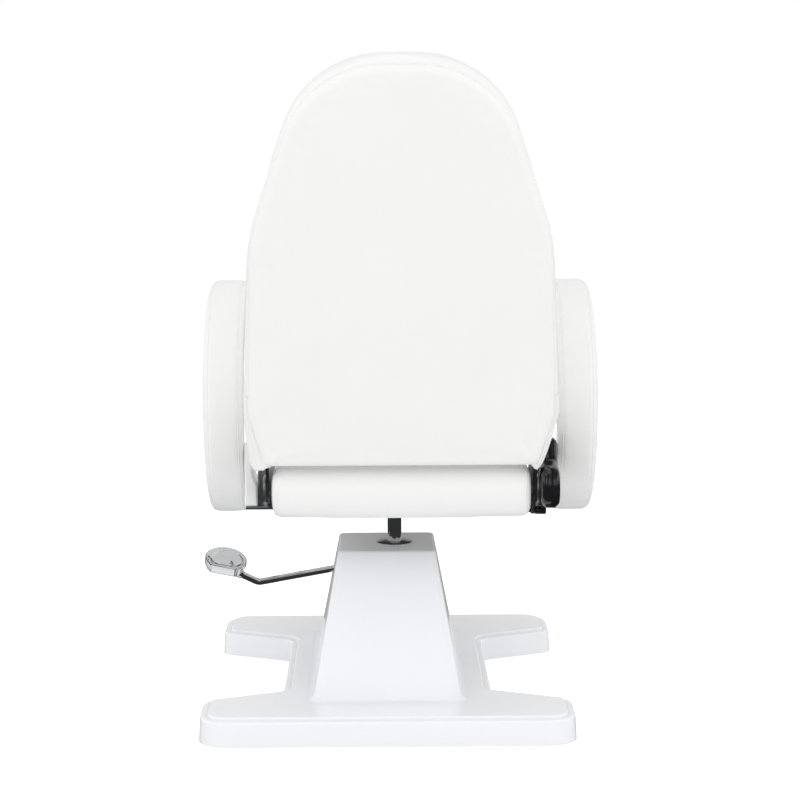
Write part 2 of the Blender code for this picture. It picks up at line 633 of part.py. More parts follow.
def make_release(release):
    """A shaft under the seat: its pawl meets the right arm's teeth, and a black lever outside turns it."""
    axis_y, axis_z = RELEASE_AXIS
    shaft_radius = 0.004
    shaft = rod("release_shaft", "X", shaft_radius, 0.130, 0.272, RELEASE_AXIS, DARK_PAINT, release, segments=16)
    tip_y, tip_z = BACK_PIVOT_Y + RATCHET_RADIUS + 0.0006, PIVOT_Z - 0.004
    pawl_corners = [(axis_y - 0.008, axis_z - 0.002, 0.004), (axis_y + 0.002, axis_z - 0.008, 0.005),
                    (axis_y + 0.008, axis_z + 0.004, 0.006), (tip_y + 0.010, tip_z + 0.006, 0.003),
                    (tip_y, tip_z + 0.003, 0), (tip_y + 0.001, tip_z - 0.006, 0)]
    pawl = slab("release_pawl", pawl_corners, "X", ARM_BAR_IN, ARM_BAR_OUT, DARK_PAINT, release, steps=3)
    lever_corners = [(-0.182, 0.3920, 0.005), (-0.170, 0.3915, 0.01), (-0.055, 0.3700, 0.005),
                     (-0.055, 0.3815, 0.005), (-0.159, 0.3970, 0.004), (-0.166, 0.4058, 0.005),
                     (-0.182, 0.4058, 0.006)]
    lever = slab("release_lever", lever_corners, "X", ARM_BAR_OUT + GAP, 0.279, BLACK_PLASTIC, release, edge=0.002,
                 edge_steps=1, steps=3)
    bore = rod("lever_bore", "X", shaft_radius + GAP, 0.250, 0.272 + GAP, RELEASE_AXIS, STEEL, release, segments=16)
    for piece in (shaft, pawl, lever, bore):
        piece.data.transform(Matrix.Translation((0, -axis_y, -axis_z)))
    join(shaft, pawl)
    cut(lever, bore)


def make_release_hanger(seat):
    """Holds the release shaft, from the cross bar's underside."""
    rear, low, top = -0.186, 0.3895, SEAT_BOTTOM_Z - GAP
    corners = [(rear, low, 0.003), (-0.112, low, 0.003), (-0.112, RAIL_TOP_Z, 0), (-0.158, RAIL_TOP_Z, 0),
               (-0.158, top, 0), (rear, top, 0)]
    hanger = slab("release_hanger", corners, "X", 0.226, 0.231, STEEL, seat, steps=3)
    cut(hanger, rod("hanger_cutter", "X", 0.004 + RUN_GAP, 0.21, 0.25, RELEASE_AXIS, STEEL, seat, segments=16))


# ---------------------------------------------------------------- backrest

def back_corners():
    """Rear view of the backrest: narrow rounded foot, straight sides, shoulders that slope to a round top."""
    right = [
        (0.253, BACK_BOTTOM, 0.024),
        (0.286, 0.155, 0.150),
        (0.2870, 0.494, 0.350),
        (0.174, BACK_TOP, 0.200),
    ]
    return mirrored(right)


def back_panel_corners():
    """The rear panel's outline, just inside the cushion's."""
    right = [
        (0.243, BACK_BOTTOM + 0.004, 0.020),
        (0.2765, 0.155, 0.140),
        (0.2775, 0.492, 0.340),
        (0.169, BACK_TOP - 0.012, 0.192),
    ]
    return mirrored(right)


def make_back(back):
    cushion = slab("back_cushion", back_corners(), "Y", BACK_MIDDLE + GAP, BACK_FRONT, VINYL, back, edge=0.018)
    slab("back_panel", back_panel_corners(), "Y", BACK_REAR, BACK_MIDDLE, VINYL, back, edge=0.009)
    arm_rear, arm_front, arm_top = -0.016, 0.016, 0.270
    for side, name in ((-1, "left"), (1, "right")):
        low, high = sorted((side * ARM_BAR_IN, side * ARM_BAR_OUT))
        arm = slab(f"back_arm_{name}", arm_side_corners(arm_rear, arm_front, arm_top), "X", low, high,
                   DARK_PAINT, back, steps=5)
        if name == "right":
            join(arm, ratchet_teeth(low, high, back))
        cut(arm, rod(f"back_arm_cutter_{name}", "X", 0.006 + RUN_GAP, low - 0.01, high + 0.01, (0, 0), STEEL,
                     back, segments=20))
        pocket = bar(f"back_pocket_{name}", (low - GAP, arm_rear - GAP, 0.0), (high + GAP, arm_front + GAP,
                     arm_top + GAP), VINYL, back)
        cut(cushion, pocket)


def ratchet_teeth(low, high, back):
    """A toothed disc about the hinge, whose roots lie inside the arm's eye."""
    points = 2 * RATCHET_TEETH
    corners = []
    for k in range(points):
        radius = RATCHET_RADIUS if k % 2 else RATCHET_RADIUS - 0.003
        angle = 2 * math.pi * k / points
        corners.append((radius * math.cos(angle), radius * math.sin(angle), 0))
    return slab("ratchet_teeth", corners, "X", low, high, DARK_PAINT, back)


def arm_side_corners(rear, front, top):
    """Side view of a hinge arm: a round eye about the hinge and a straight flat bar."""
    eye = RATCHET_RADIUS - 0.0015
    return [(-eye, -eye, eye - 0.0002), (eye, -eye, eye - 0.0002), (eye, 0.010, 0.010), (front, 0.030, 0.010),
            (front, top, 0.008), (rear, top, 0.008), (rear, 0.030, 0.010), (-eye, 0.010, 0.010)]


# ---------------------------------------------------------------- leg rest

def make_leg_rest(leg):
    board_low, board_high, cross_thick = -0.043, -0.031, 0.010
    right = [(0.2410, LEG_START, 0.020), (0.2410, 0.330, 0.120), (0.214, LEG_END, 0.055)]
    slab("leg_cushion", mirrored(right), "Z", board_high + GAP, ROLL, VINYL, leg, edge=0.018)
    slab("leg_board", inset(mirrored(right), 0.012), "Z", board_low, board_high, BOARD, leg, steps=5)
    for side, name in ((-1, "left"), (1, "right")):
        low, high = sorted((side * ARM_BAR_IN, side * ARM_BAR_OUT))
        arm = slab(f"leg_arm_{name}", leg_arm_corners(board_low - GAP - cross_thick), "X", low, high, DARK_PAINT, leg)
        cut(arm, rod(f"leg_arm_cutter_{name}", "X", 0.006 + RUN_GAP, low - 0.01, high + 0.01, (0, 0), STEEL,
                     leg, segments=20))
    half = ARM_BAR_IN - GAP
    low = (-half, CROSS_START, board_low - GAP - cross_thick)
    bar("leg_cross_bar", low, (half, CROSS_END, board_low - GAP), DARK_PAINT, leg, edge=0.002)


def leg_arm_corners(foot):
    """Side view of a leg rest arm: a round eye, a flat bar along the cushion's edge and a tab down to the cross bar."""
    eye, half, end = 0.0225, 0.016, 0.270
    return [(-eye, -eye, eye - 0.0002), (0.010, -eye, 0.010), (0.030, -half, 0.010), (CROSS_START, -half, 0.006),
            (CROSS_START, foot, 0.003), (CROSS_END, foot, 0.003), (CROSS_END, -half, 0.006), (end, -half, 0.008),
            (end, half, 0.008), (0.030, half, 0.010), (0.010, eye, 0.010), (-eye, eye, eye - 0.0002)]


# ---------------------------------------------------------------- armrests

def arm_corners(grow=0.0):
    """Side view of an armrest: a C, open to the front, with a long upper leg that droops and a short foot."""
    centre_y, centre_z = ARM_CENTRE
    outer, inner = ARM_RADIUS + grow, ARM_RADIUS - ARM_THICK - grow
    foot, reach = ARM_FOOT_REACH + grow, ARM_TOP_REACH + grow
    bend, droop = 0.075, 0.032
    end = ARM_THICK / 2 + grow - 0.001
    rear = centre_y - outer
    return [
        (rear, centre_z - outer, outer - 0.001),
        (centre_y + foot, centre_z - outer, end),
        (centre_y + foot, centre_z - inner, end),
        (centre_y - inner, centre_z - inner, inner - 0.001),
        (centre_y - inner, centre_z + inner, inner - 0.001),
        (centre_y + bend, centre_z + inner, 0.110),
        (centre_y + reach - 0.006, centre_z + inner - droop, end),
        (centre_y + reach + 0.010, centre_z + outer - droop, end),
        (centre_y + bend, centre_z + outer, 0.170),
        (rear, centre_z + outer, outer - 0.001),
    ]


def make_arm(arm, side, name):
    """A pad round a board core that is open on its inner side, turning on a steel stub."""
    pivot = Vector((0.0, *ARM_PIVOT))
    shift = Matrix.Translation(-pivot)
    low, high = sorted((side * ARM_IN, side * ARM_OUT))
    pad = slab(f"arm_pad_{name}", arm_corners(), "X", low, high, VINYL, arm, edge=0.012, steps=6)
    core_low, core_high = sorted((side * (ARM_IN + 0.0005), side * (ARM_IN + 0.0145)))
    core = slab(f"arm_core_{name}", arm_corners(-0.018), "X", core_low, core_high, BOARD, arm, steps=6)
    pocket_low, pocket_high = sorted((side * (ARM_IN - 0.01), side * (ARM_IN + 0.0145 + GAP)))
    pocket = slab(f"arm_pocket_{name}", arm_corners(-0.018 + GAP), "X", pocket_low, pocket_high, BOARD, arm, steps=6)
    stub_low, stub_high = sorted((side * 0.286, side * (ARM_IN + 0.0143)))
    stub = rod(f"arm_stub_{name}", "X", 0.0068, stub_low, stub_high, ARM_PIVOT, STEEL, arm, segments=20)
    hole = rod(f"core_cutter_{name}", "X", 0.0068 + GAP, low - 0.02, high + 0.02, ARM_PIVOT, STEEL, arm, segments=20)
    for piece in (pad, core, pocket, stub, hole):
        piece.data.transform(shift)
    cut(pad, pocket)
    cut(core, hole)


# ---------------------------------------------------------------- assembly

def main():
    base = empty("base", (0, 0, 0))
    make_base_cover(base)
    make_base_steel(base)
    make_pump(base)
    pedal = empty("pedal_hinge", (PEDAL_PIVOT[0], 0, PEDAL_PIVOT[1]), base)
    make_pedal(pedal)
    plunger = empty("plunger_slide", (0, 0, PLUNGER_TOP_Z), base)
    make_plunger(plunger)
    lift = empty("lift", (0, 0, 0), base)
    make_lift(lift)
    swivel = empty("swivel", (0, 0, 0), lift)
    make_hub(swivel)
    seat = empty("seat", (SEAT_X, 0, 0), swivel)
    make_seat(seat)
    make_hinges(seat)
    make_hinge_cap(seat)
    make_arm_roots(seat)
    make_release_hanger(seat)
    make_release(empty("release_hinge", (0, *RELEASE_AXIS), seat))
    make_back(empty("back_hinge", (0, BACK_PIVOT_Y, PIVOT_Z), seat, BACK_LEAN))
    make_leg_rest(empty("leg_hinge", (0, LEG_PIVOT_Y, PIVOT_Z), seat, -LEG_DROP))
    for side, name in ((-1, "left"), (1, "right")):
        make_arm(empty(f"arm_hinge_{name}", (0, *ARM_PIVOT), seat), side, name)


main()
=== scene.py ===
"""Looks of a hydraulic pedicure spa chair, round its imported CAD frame: metres, +Z up, facing +Y."""

import json
import math
import random

import bmesh
import bpy
import numpy as np
from mathutils import Matrix, Vector, noise
from mathutils.bvhtree import BVHTree
from mathutils.kdtree import KDTree

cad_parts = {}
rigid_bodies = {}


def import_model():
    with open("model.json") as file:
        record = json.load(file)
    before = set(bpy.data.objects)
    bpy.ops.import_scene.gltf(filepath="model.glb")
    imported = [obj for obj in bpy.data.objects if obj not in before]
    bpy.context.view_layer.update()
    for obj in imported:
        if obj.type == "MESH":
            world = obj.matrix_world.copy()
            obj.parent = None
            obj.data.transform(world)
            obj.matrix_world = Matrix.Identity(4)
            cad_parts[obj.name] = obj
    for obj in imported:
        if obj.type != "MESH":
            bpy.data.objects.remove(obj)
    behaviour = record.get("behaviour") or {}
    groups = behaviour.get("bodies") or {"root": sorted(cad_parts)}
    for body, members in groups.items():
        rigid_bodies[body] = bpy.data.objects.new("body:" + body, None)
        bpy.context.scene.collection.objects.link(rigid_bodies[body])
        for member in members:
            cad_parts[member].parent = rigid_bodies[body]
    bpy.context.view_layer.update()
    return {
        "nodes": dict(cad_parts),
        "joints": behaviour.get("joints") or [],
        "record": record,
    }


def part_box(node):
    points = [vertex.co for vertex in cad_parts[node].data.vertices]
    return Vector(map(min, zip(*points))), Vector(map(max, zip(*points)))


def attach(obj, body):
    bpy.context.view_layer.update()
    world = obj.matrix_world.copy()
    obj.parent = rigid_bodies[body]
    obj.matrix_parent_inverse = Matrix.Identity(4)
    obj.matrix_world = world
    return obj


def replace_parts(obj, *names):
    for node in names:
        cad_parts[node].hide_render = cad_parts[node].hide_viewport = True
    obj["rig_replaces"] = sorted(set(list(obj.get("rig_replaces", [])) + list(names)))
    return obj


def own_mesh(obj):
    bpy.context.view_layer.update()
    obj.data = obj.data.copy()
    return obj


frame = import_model()

SIDES = (("left", -1), ("right", 1))
JOINTS = {joint["name"]: joint for joint in frame["joints"]}
BACK_LEAN = math.radians(12)
LEG_DROP = math.radians(15)
BACK_PIVOT = Vector(JOINTS["back_recline"]["pos_m"])
LEG_PIVOT = Vector(JOINTS["leg_rest_tilt"]["pos_m"])
SEAT_X = BACK_PIVOT.x
# Frames of the upholstery: BACK has Z up along the back and Y forward, LEG has Y out along the leg rest
BACK = Matrix.Translation(BACK_PIVOT) @ Matrix.Rotation(BACK_LEAN, 4, "X")
LEG = Matrix.Translation(LEG_PIVOT) @ Matrix.Rotation(-LEG_DROP, 4, "X")
SEAT = Matrix.Translation((SEAT_X, 0, 0))

# Camera: behind the chair and a little above, looking slightly down
CAMERA_PLACE = (0.0122, -4.316, 1.164)
CAMERA_PITCH = math.radians(7.56)
CAMERA_TURN = math.radians(-0.5)
CAMERA_ROLL = math.radians(-0.25)
CAMERA_LENS = 98.35


# ---------------------------------------------------------------- materials

def node(tree, kind, links=(), **values):
    """Adds a node, sets its properties or inputs by name, and links (input, output) pairs into it."""
    made = tree.nodes.new(kind)
    for key, value in values.items():
        if hasattr(made, key):
            setattr(made, key, value)
        else:
            made.inputs[key.replace("_", " ")].default_value = value
    for name, output in links:
        tree.links.new(output, made.inputs[name])
    return made


def ramp(tree, source, low, high, dark, light):
    """A colour ramp between two values of a factor."""
    made = node(tree, "ShaderNodeValToRGB", [("Fac", source)])
    stops = made.color_ramp.elements
    stops[0].position, stops[0].color = low, (*dark, 1)
    stops[1].position, stops[1].color = high, (*light, 1)
    return made.outputs["Color"]


def noise_of(tree, place, scale, detail=3.0, rough=0.55):
    made = node(tree, "ShaderNodeTexNoise", [("Vector", place)], Scale=scale, Detail=detail, Roughness=rough)
    return made.outputs["Fac"]


def cells_of(tree, place, scale, smooth=0.6):
    made = node(tree, "ShaderNodeTexVoronoi", [("Vector", place)], feature="SMOOTH_F1", Scale=scale,
                Smoothness=smooth)
    return made.outputs["Distance"]


def mixed(tree, factor, dark, light):
    """Colour between two linked or constant colours, by a factor."""
    made = tree.nodes.new("ShaderNodeMix")
    made.data_type = "RGBA"
    tree.links.new(factor, made.inputs["Factor"])
    for socket, value in zip(("A", "B"), (dark, light)):
        target = [s for s in made.inputs if s.name == socket and s.type == "RGBA"][0]
        if isinstance(value, tuple):
            target.default_value = (*value, 1)
        else:
            tree.links.new(value, target)
    return [s for s in made.outputs if s.type == "RGBA"][0]


def bumped(tree, layers):
    """Chains bump nodes; each layer is (height, strength, distance in metres)."""
    normal = None
    for height, strength, distance in layers:
        links = [("Height", height)] + ([("Normal", normal)] if normal else [])
        normal = node(tree, "ShaderNodeBump", links, Strength=strength, Distance=distance).outputs["Normal"]
    return normal


def finish(name, color, roughness, metallic=0.0, spread=0.04, spot_scale=9.0, tint=0.94, layers=(), wear=None,
           **sockets):
    """A Principled material: mottled colour and roughness, bump layers, and wear on convex edges."""
    made = bpy.data.materials.new(name)
    made.use_nodes = True
    tree = made.node_tree
    shader = tree.nodes["Principled BSDF"]
    place = node(tree, "ShaderNodeTexCoord").outputs["Object"]
    spots = noise_of(tree, place, spot_scale, 4.0)
    base = ramp(tree, spots, 0.3, 0.7, tuple(c * tint for c in color), color)
    # Painted shade: the colour darkens in concave creases (low pointiness), in place of occlusion shading
    edges = tree.nodes.new("ShaderNodeNewGeometry").outputs["Pointiness"]
    painted_crease_shade = ramp(tree, edges, 0.44, 0.50, (0.80, 0.80, 0.80), (1, 1, 1))
    shaded = node(tree, "ShaderNodeMix", data_type="RGBA", blend_type="MULTIPLY")
    shaded.inputs["Factor"].default_value = 0.6
    colors = [s for s in shaded.inputs if s.type == "RGBA"]
    tree.links.new(base, colors[0])
    tree.links.new(painted_crease_shade, colors[1])
    base = [s for s in shaded.outputs if s.type == "RGBA"][0]
    if wear:
        rubbed = ramp(tree, edges, 0.53, 0.60, (0, 0, 0), (1, 1, 1))
        broken = node(tree, "ShaderNodeMath", [(0, rubbed), (1, noise_of(tree, place, 160, 5.0))],
                      operation="MULTIPLY")
        base = mixed(tree, broken.outputs[0], base, wear)
    tree.links.new(base, shader.inputs["Base Color"])
    smudges = noise_of(tree, place, spot_scale * 2.3, 5.0, 0.62)
    span = node(tree, "ShaderNodeMapRange", [("Value", smudges)])
    span.inputs["To Min"].default_value = max(0.02, roughness - spread)
    span.inputs["To Max"].default_value = roughness + spread
    tree.links.new(span.outputs["Result"], shader.inputs["Roughness"])
    shader.inputs["Metallic"].default_value = metallic
    for key, value in sockets.items():
        shader.inputs[key.replace("_", " ")].default_value = value
    if layers:
        heights = [(height(tree, place), strength, distance) for height, strength, distance in layers]
        tree.links.new(bumped(tree, heights), shader.inputs["Normal"])
    return made


def grain(tree, place):
    """Leather grain: small irregular cells with fine creases."""
    warp = node(tree, "ShaderNodeVectorMath", [(0, place)], operation="ADD")
    shift = node(tree, "ShaderNodeTexNoise", [("Vector", place)], Scale=220.0, Detail=2.0)
    small = node(tree, "ShaderNodeVectorMath", [(0, shift.outputs["Color"])], operation="SCALE", Scale=0.0016)
    tree.links.new(small.outputs[0], warp.inputs[1])
    return cells_of(tree, warp.outputs[0], 620.0)


def fine_creases(tree, place):
    return noise_of(tree, place, 95.0, 6.0, 0.65)


def slow_waves(tree, place):
    return noise_of(tree, place, 7.0, 2.0, 0.45)


def orange_peel(tree, place):
    return noise_of(tree, place, 260.0, 2.0)


def brushed(tree, place):
    stretched = node(tree, "ShaderNodeMapping", [("Vector", place)], Scale=(30.0, 900.0, 900.0))
    return noise_of(tree, stretched.outputs[0], 1.0, 3.0)


def wood_layers(tree, place):
    made = node(tree, "ShaderNodeTexWave", [("Vector", place)], Scale=90.0, Distortion=3.0,
                bands_direction="Z", Detail=3.0)
    return made.outputs["Fac"]


VINYL = finish("white_vinyl", (0.895, 0.895, 0.888), 0.42, spread=0.05, spot_scale=5.0, tint=0.985,
               layers=[(slow_waves, 0.10, 0.004), (fine_creases, 0.10, 0.0006), (grain, 0.22, 0.00035)],
               Sheen_Weight=0.12, Sheen_Roughness=0.5, Specular_IOR_Level=0.42)
ABS = finish("white_abs", (0.905, 0.918, 0.945), 0.24, spread=0.05, spot_scale=6.0, tint=0.985,
             layers=[(slow_waves, 0.06, 0.003), (orange_peel, 0.05, 0.0002)],
             Coat_Weight=0.1, Coat_Roughness=0.12)
CHROME = finish("chrome", (0.82, 0.83, 0.84), 0.07, 1.0, spread=0.03, tint=0.96,
                layers=[(orange_peel, 0.02, 0.0002)])
STEEL = finish("grey_steel", (0.40, 0.41, 0.42), 0.38, 1.0, spread=0.08, spot_scale=25.0, tint=0.85,
               layers=[(brushed, 0.12, 0.0002)], wear=(0.62, 0.62, 0.62))
PAINT = finish("black_painted_steel", (0.014, 0.014, 0.015), 0.36, spread=0.06, spot_scale=30.0, tint=0.8,
               layers=[(orange_peel, 0.15, 0.0003)], wear=(0.10, 0.10, 0.10), Specular_IOR_Level=0.38)
GLOSS = finish("black_gloss_plastic", (0.010, 0.010, 0.011), 0.16, spread=0.04, spot_scale=18.0, tint=0.8,
               layers=[(slow_waves, 0.05, 0.001)], Coat_Weight=0.6, Coat_Roughness=0.08)
RUBBER = finish("black_rubber", (0.020, 0.020, 0.020), 0.62, spread=0.08, spot_scale=40.0, tint=0.8,
                layers=[(orange_peel, 0.25, 0.0003)])
BRONZE = finish("bronze", (0.62, 0.43, 0.20), 0.3, 1.0, spread=0.08, spot_scale=40.0, tint=0.8,
                layers=[(brushed, 0.1, 0.0002)])
BOARD = finish("white_board", (0.78, 0.77, 0.745), 0.55, spot_scale=14.0, tint=0.95,
               layers=[(wood_layers, 0.1, 0.0003), (orange_peel, 0.1, 0.0002)])
FINISHES = {"white_vinyl": VINYL, "white_abs": ABS, "chrome": CHROME, "grey_steel": STEEL,
            "black_painted_steel": PAINT, "black_gloss_plastic": GLOSS, "black_rubber": RUBBER,
            "bronze": BRONZE, "white_board": BOARD}
SLOT_OF = {part["node"]: part["material_slot"] for part in frame["record"]["subparts"]}
BODY_OF = {name: body for body, names in frame["record"]["behaviour"]["bodies"].items() for name in names}


# ---------------------------------------------------------------- outlines, as lists of (u, v)

def rounded(corners, steps=8):
    """Outline through corners (u, v, radius); each radius above 0 becomes an arc of steps + 1 points."""
    outline = []
    count = len(corners)
    for i, (u, v, radius) in enumerate(corners):
        here = Vector((u, v))
        back = (Vector(corners[i - 1][:2]) - here).normalized()
        ahead = (Vector(corners[(i + 1) % count][:2]) - here).normalized()
        if radius <= 0:
            outline.append((u, v))
            continue
        half = back.angle(ahead) / 2
        centre = here + (back + ahead).normalized() * radius / math.sin(half)
        start = here + back * radius / math.tan(half) - centre
        turn = start.angle_signed(here + ahead * radius / math.tan(half) - centre)
        for k in range(steps + 1):
            spoke = start.copy()
            spoke.rotate(Matrix.Rotation(-turn * k / steps, 2))
            outline.append(tuple(centre + spoke))
    return outline


def inset(corners, depth):
    """Corners (u, v, radius) of a counterclockwise polygon moved inwards by depth, radii kept concentric."""
    moved = []
    count = len(corners)
    for i, (u, v, radius) in enumerate(corners):
        here = Vector((u, v))
        before = (here - Vector(corners[i - 1][:2])).normalized()
        after = (Vector(corners[(i + 1) % count][:2]) - here).normalized()
        normal_a = Vector((-before.y, before.x))
        normal_b = Vector((-after.y, after.x))
        middle = (normal_a + normal_b).normalized()
        place = here + middle * depth / max(0.2, middle.dot(normal_a))
        convex = before.x * after.y - before.y * after.x > 0
        new_radius = max(0.0005, radius - depth if convex else radius + depth) if radius > 0 else 0
        moved.append((place.x, place.y, new_radius))
    return moved


def mirrored(half):
    """Counterclockwise polygon from its right half, listed from bottom to top; u = 0 is the mirror line."""
    return half + [(-u, v, radius) for u, v, radius in reversed(half)]


def on_axis(axis, u, v, w):
    """A point at w along the axis and (u, v) across it."""
    return {"X": (w, u, v), "Y": (u, w, v), "Z": (u, v, w)}[axis]


def circle(radius, count, centre=(0.0, 0.0)):
    angles = [2 * math.pi * k / count for k in range(count)]
    return [(centre[0] + radius * math.cos(a), centre[1] + radius * math.sin(a)) for a in angles]


def spaced(points, gap):
    """A closed line through points, with a point about every gap."""
    loop = np.array(list(points) + [points[0]], float)
    along = np.concatenate([[0], np.cumsum(np.linalg.norm(np.diff(loop, axis=0), axis=1))])
    count = max(8, round(along[-1] / gap))
    places = np.linspace(0, along[-1], count, endpoint=False)
    return np.stack([np.interp(places, along, loop[:, k]) for k in range(loop.shape[1])], axis=1)


# ---------------------------------------------------------------- meshes and pieces

def loft(rings, closed=True):
    """Mesh through rings of equal point counts; closed adds a flat cap on the first and the last."""
    bm = bmesh.new()
    loops = [[bm.verts.new(point) for point in ring] for ring in rings]
    count = len(loops[0])
    for low, high in zip(loops, loops[1:]):
        for k in range(count):
            bm.faces.new((low[k], low[(k + 1) % count], high[(k + 1) % count], high[k]))
    if closed:
        bm.faces.new(loops[0][::-1])
        bm.faces.new(loops[-1])
    return bm


def new_object(name, bm, material=None, smooth=40.0):
    """A mesh object from a bmesh, shaded smooth below an angle in degrees."""
    bmesh.ops.recalc_face_normals(bm, faces=bm.faces)
    mesh = bpy.data.meshes.new(name)
    bm.to_mesh(mesh)
    bm.free()
    if material:
        mesh.materials.append(material)
    mesh.shade_smooth()
    if smooth:
        mesh.set_sharp_from_angle(angle=math.radians(smooth))
    made = bpy.data.objects.new(name, mesh)
    bpy.context.scene.collection.objects.link(made)
    return made


def place(obj, body, slot, *nodes):
    """Declares what a piece rides on and the CAD nodes that it stands for; the slot, its finish, is not used.
    """
    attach(obj, body)
    if nodes:
        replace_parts(obj, *nodes)
    return obj


def apply_modifiers(obj):
    graph = bpy.context.evaluated_depsgraph_get()
    mesh = bpy.data.meshes.new_from_object(obj.evaluated_get(graph))
    obj.modifiers.clear()
    old = obj.data
    obj.data = mesh
    bpy.data.meshes.remove(old)


def bevelled(obj, width, segments=2, angle=35.0):
    made = obj.modifiers.new("bevel", "BEVEL")
    made.width = width
    made.segments = segments
    made.limit_method = "ANGLE"
    made.angle_limit = math.radians(angle)
    made.use_clamp_overlap = True
    apply_modifiers(obj)
    obj.data.shade_smooth()
    obj.data.set_sharp_from_angle(angle=math.radians(60))


def refined(name, bevel=0.0006):
    """A CAD node's own shape with softened edges, in the finish of its slot."""
    mesh = frame["nodes"][name].data.copy()
    mesh.materials.clear()
    bm = bmesh.new()
    bm.from_mesh(mesh)
    bpy.data.meshes.remove(mesh)
    bmesh.ops.remove_doubles(bm, verts=bm.verts, dist=2e-5)
    bmesh.ops.dissolve_limit(bm, angle_limit=math.radians(1.0), verts=bm.verts, edges=bm.edges)
    obj = new_object(f"{name}_finished", bm, FINISHES[SLOT_OF[name]], smooth=35)
    if bevel:
        bevelled(obj, bevel)
    return place(obj, BODY_OF[name], SLOT_OF[name], name)


def turned(name, profile, centre, material, segments=64):
    """A solid of revolution about a vertical axis; profile is a closed list of (radius, z)."""
    bm = bmesh.new()
    rings = []
    for radius, z in profile:
        if radius < 1e-9:
            rings.append([bm.verts.new((centre[0], centre[1], z))] * segments)
        else:
            rings.append([bm.verts.new((u, v, z)) for u, v in circle(radius, segments, centre)])
    for i, low in enumerate(rings):
        high = rings[(i + 1) % len(rings)]
        for k in range(segments):
            n = (k + 1) % segments
            corners = list(dict.fromkeys((low[k], low[n], high[n], high[k])))
            if len(corners) > 2:
                bm.faces.new(corners)
    return new_object(name, bm, material, smooth=35)


def coordinates(mesh):
    points = np.empty(len(mesh.vertices) * 3, np.float32)
    mesh.vertices.foreach_get("co", points)
    return points.reshape(-1, 3).astype(float)


def normals(mesh):
    values = np.empty(len(mesh.vertices) * 3, np.float32)
    mesh.vertex_normals.foreach_get("vector", values)
    return values.reshape(-1, 3).astype(float)


def set_coordinates(mesh, points):
    mesh.vertices.foreach_set("co", points.astype(np.float32).ravel())
    mesh.update()


# ---------------------------------------------------------------- upholstery

VOXEL = 0.006
SIM_FRAMES = 20


def slab_mesh(corners, axis, low, high, edge):
    """A polygon extruded along an axis, with rounded edges, as evenly spaced rings."""
    angles = [math.pi / 2 * k / 4 for k in range(5)]
    levels = [(low + edge * (1 - math.sin(a)), edge * (1 - math.cos(a))) for a in reversed(angles)]
    levels += [(high - edge * (1 - math.sin(a)), edge * (1 - math.cos(a))) for a in angles]
    rings = [
        [on_axis(axis, u, v, level) for u, v in rounded(inset(corners, depth) if depth else corners)]
        for level, depth in levels
    ]
    return loft(rings)


def swell(obj, pressure, cap, held):
    """Cloth under air pressure: held says which points stay, and cap is how far a point may move."""
    rest = coordinates(obj.data)
    pins = obj.vertex_groups.new(name="held")
    keep = [i for i, point in enumerate(rest) if held(Vector(point))]
    pins.add(keep, 1.0, "REPLACE")
    cloth = obj.modifiers.new("cloth", "CLOTH")
    cloth.settings.use_pressure = True
    cloth.settings.uniform_pressure_force = pressure
    cloth.settings.vertex_group_mass = "held"
    cloth.settings.effector_weights.gravity = 0.0
    cloth.settings.tension_stiffness = 25
    cloth.settings.compression_stiffness = 25
    cloth.settings.bending_stiffness = 4
    cloth.settings.quality = 5
    cloth.point_cache.frame_start = 1
    cloth.point_cache.frame_end = SIM_FRAMES
    for k in range(1, SIM_FRAMES + 1):
        bpy.context.scene.frame_set(k)
    apply_modifiers(obj)
    bpy.context.scene.frame_set(1)
    moved = coordinates(obj.data) - rest
    length = np.linalg.norm(moved, axis=1, keepdims=True)
    limit = cap * np.tanh(length / cap)
    set_coordinates(obj.data, rest + moved * limit / np.maximum(length, 1e-9))


def upholstered(name, bm, matrix, cap, held, pressure=4.0, voxel=VOXEL, smooth=6):
    """A padded form from a plain closed solid: remeshed evenly, swollen and smoothed."""
    obj = new_object(name, bm, VINYL, smooth=0)
    remesh = obj.modifiers.new("remesh", "REMESH")
    remesh.mode = "VOXEL"
    remesh.voxel_size = voxel
    relax = obj.modifiers.new("relax", "SMOOTH")
    relax.iterations = smooth
    relax.factor = 0.5
    apply_modifiers(obj)
    swell(obj, pressure, cap, held)
    fine = obj.modifiers.new("fine", "SUBSURF")
    fine.levels = fine.render_levels = 1
    apply_modifiers(obj)
    obj.data.transform(matrix)
    obj.data.shade_smooth()
    return obj


def fitted(obj, matrix, low, high):
    """Stretches a piece, in the frame of its matrix, to fill a box exactly."""
    obj.data.transform(matrix.inverted())
    points = coordinates(obj.data)
    was_low, was_high = points.min(axis=0), points.max(axis=0)
    share = (points - was_low) / (was_high - was_low)
    set_coordinates(obj.data, np.array(low) + share * (np.array(high) - np.array(low)))
    obj.data.transform(matrix)


def on_surface(obj, points, lift=0.0):
    """The points moved to the nearest place on a piece's surface, then out by lift."""
    graph = bpy.context.evaluated_depsgraph_get()
    tree = BVHTree.FromObject(obj, graph)
    moved = []
    for point in points:
        spot, normal, _, _ = tree.find_nearest(Vector(point))
        moved.append(spot + normal * lift)
    return moved


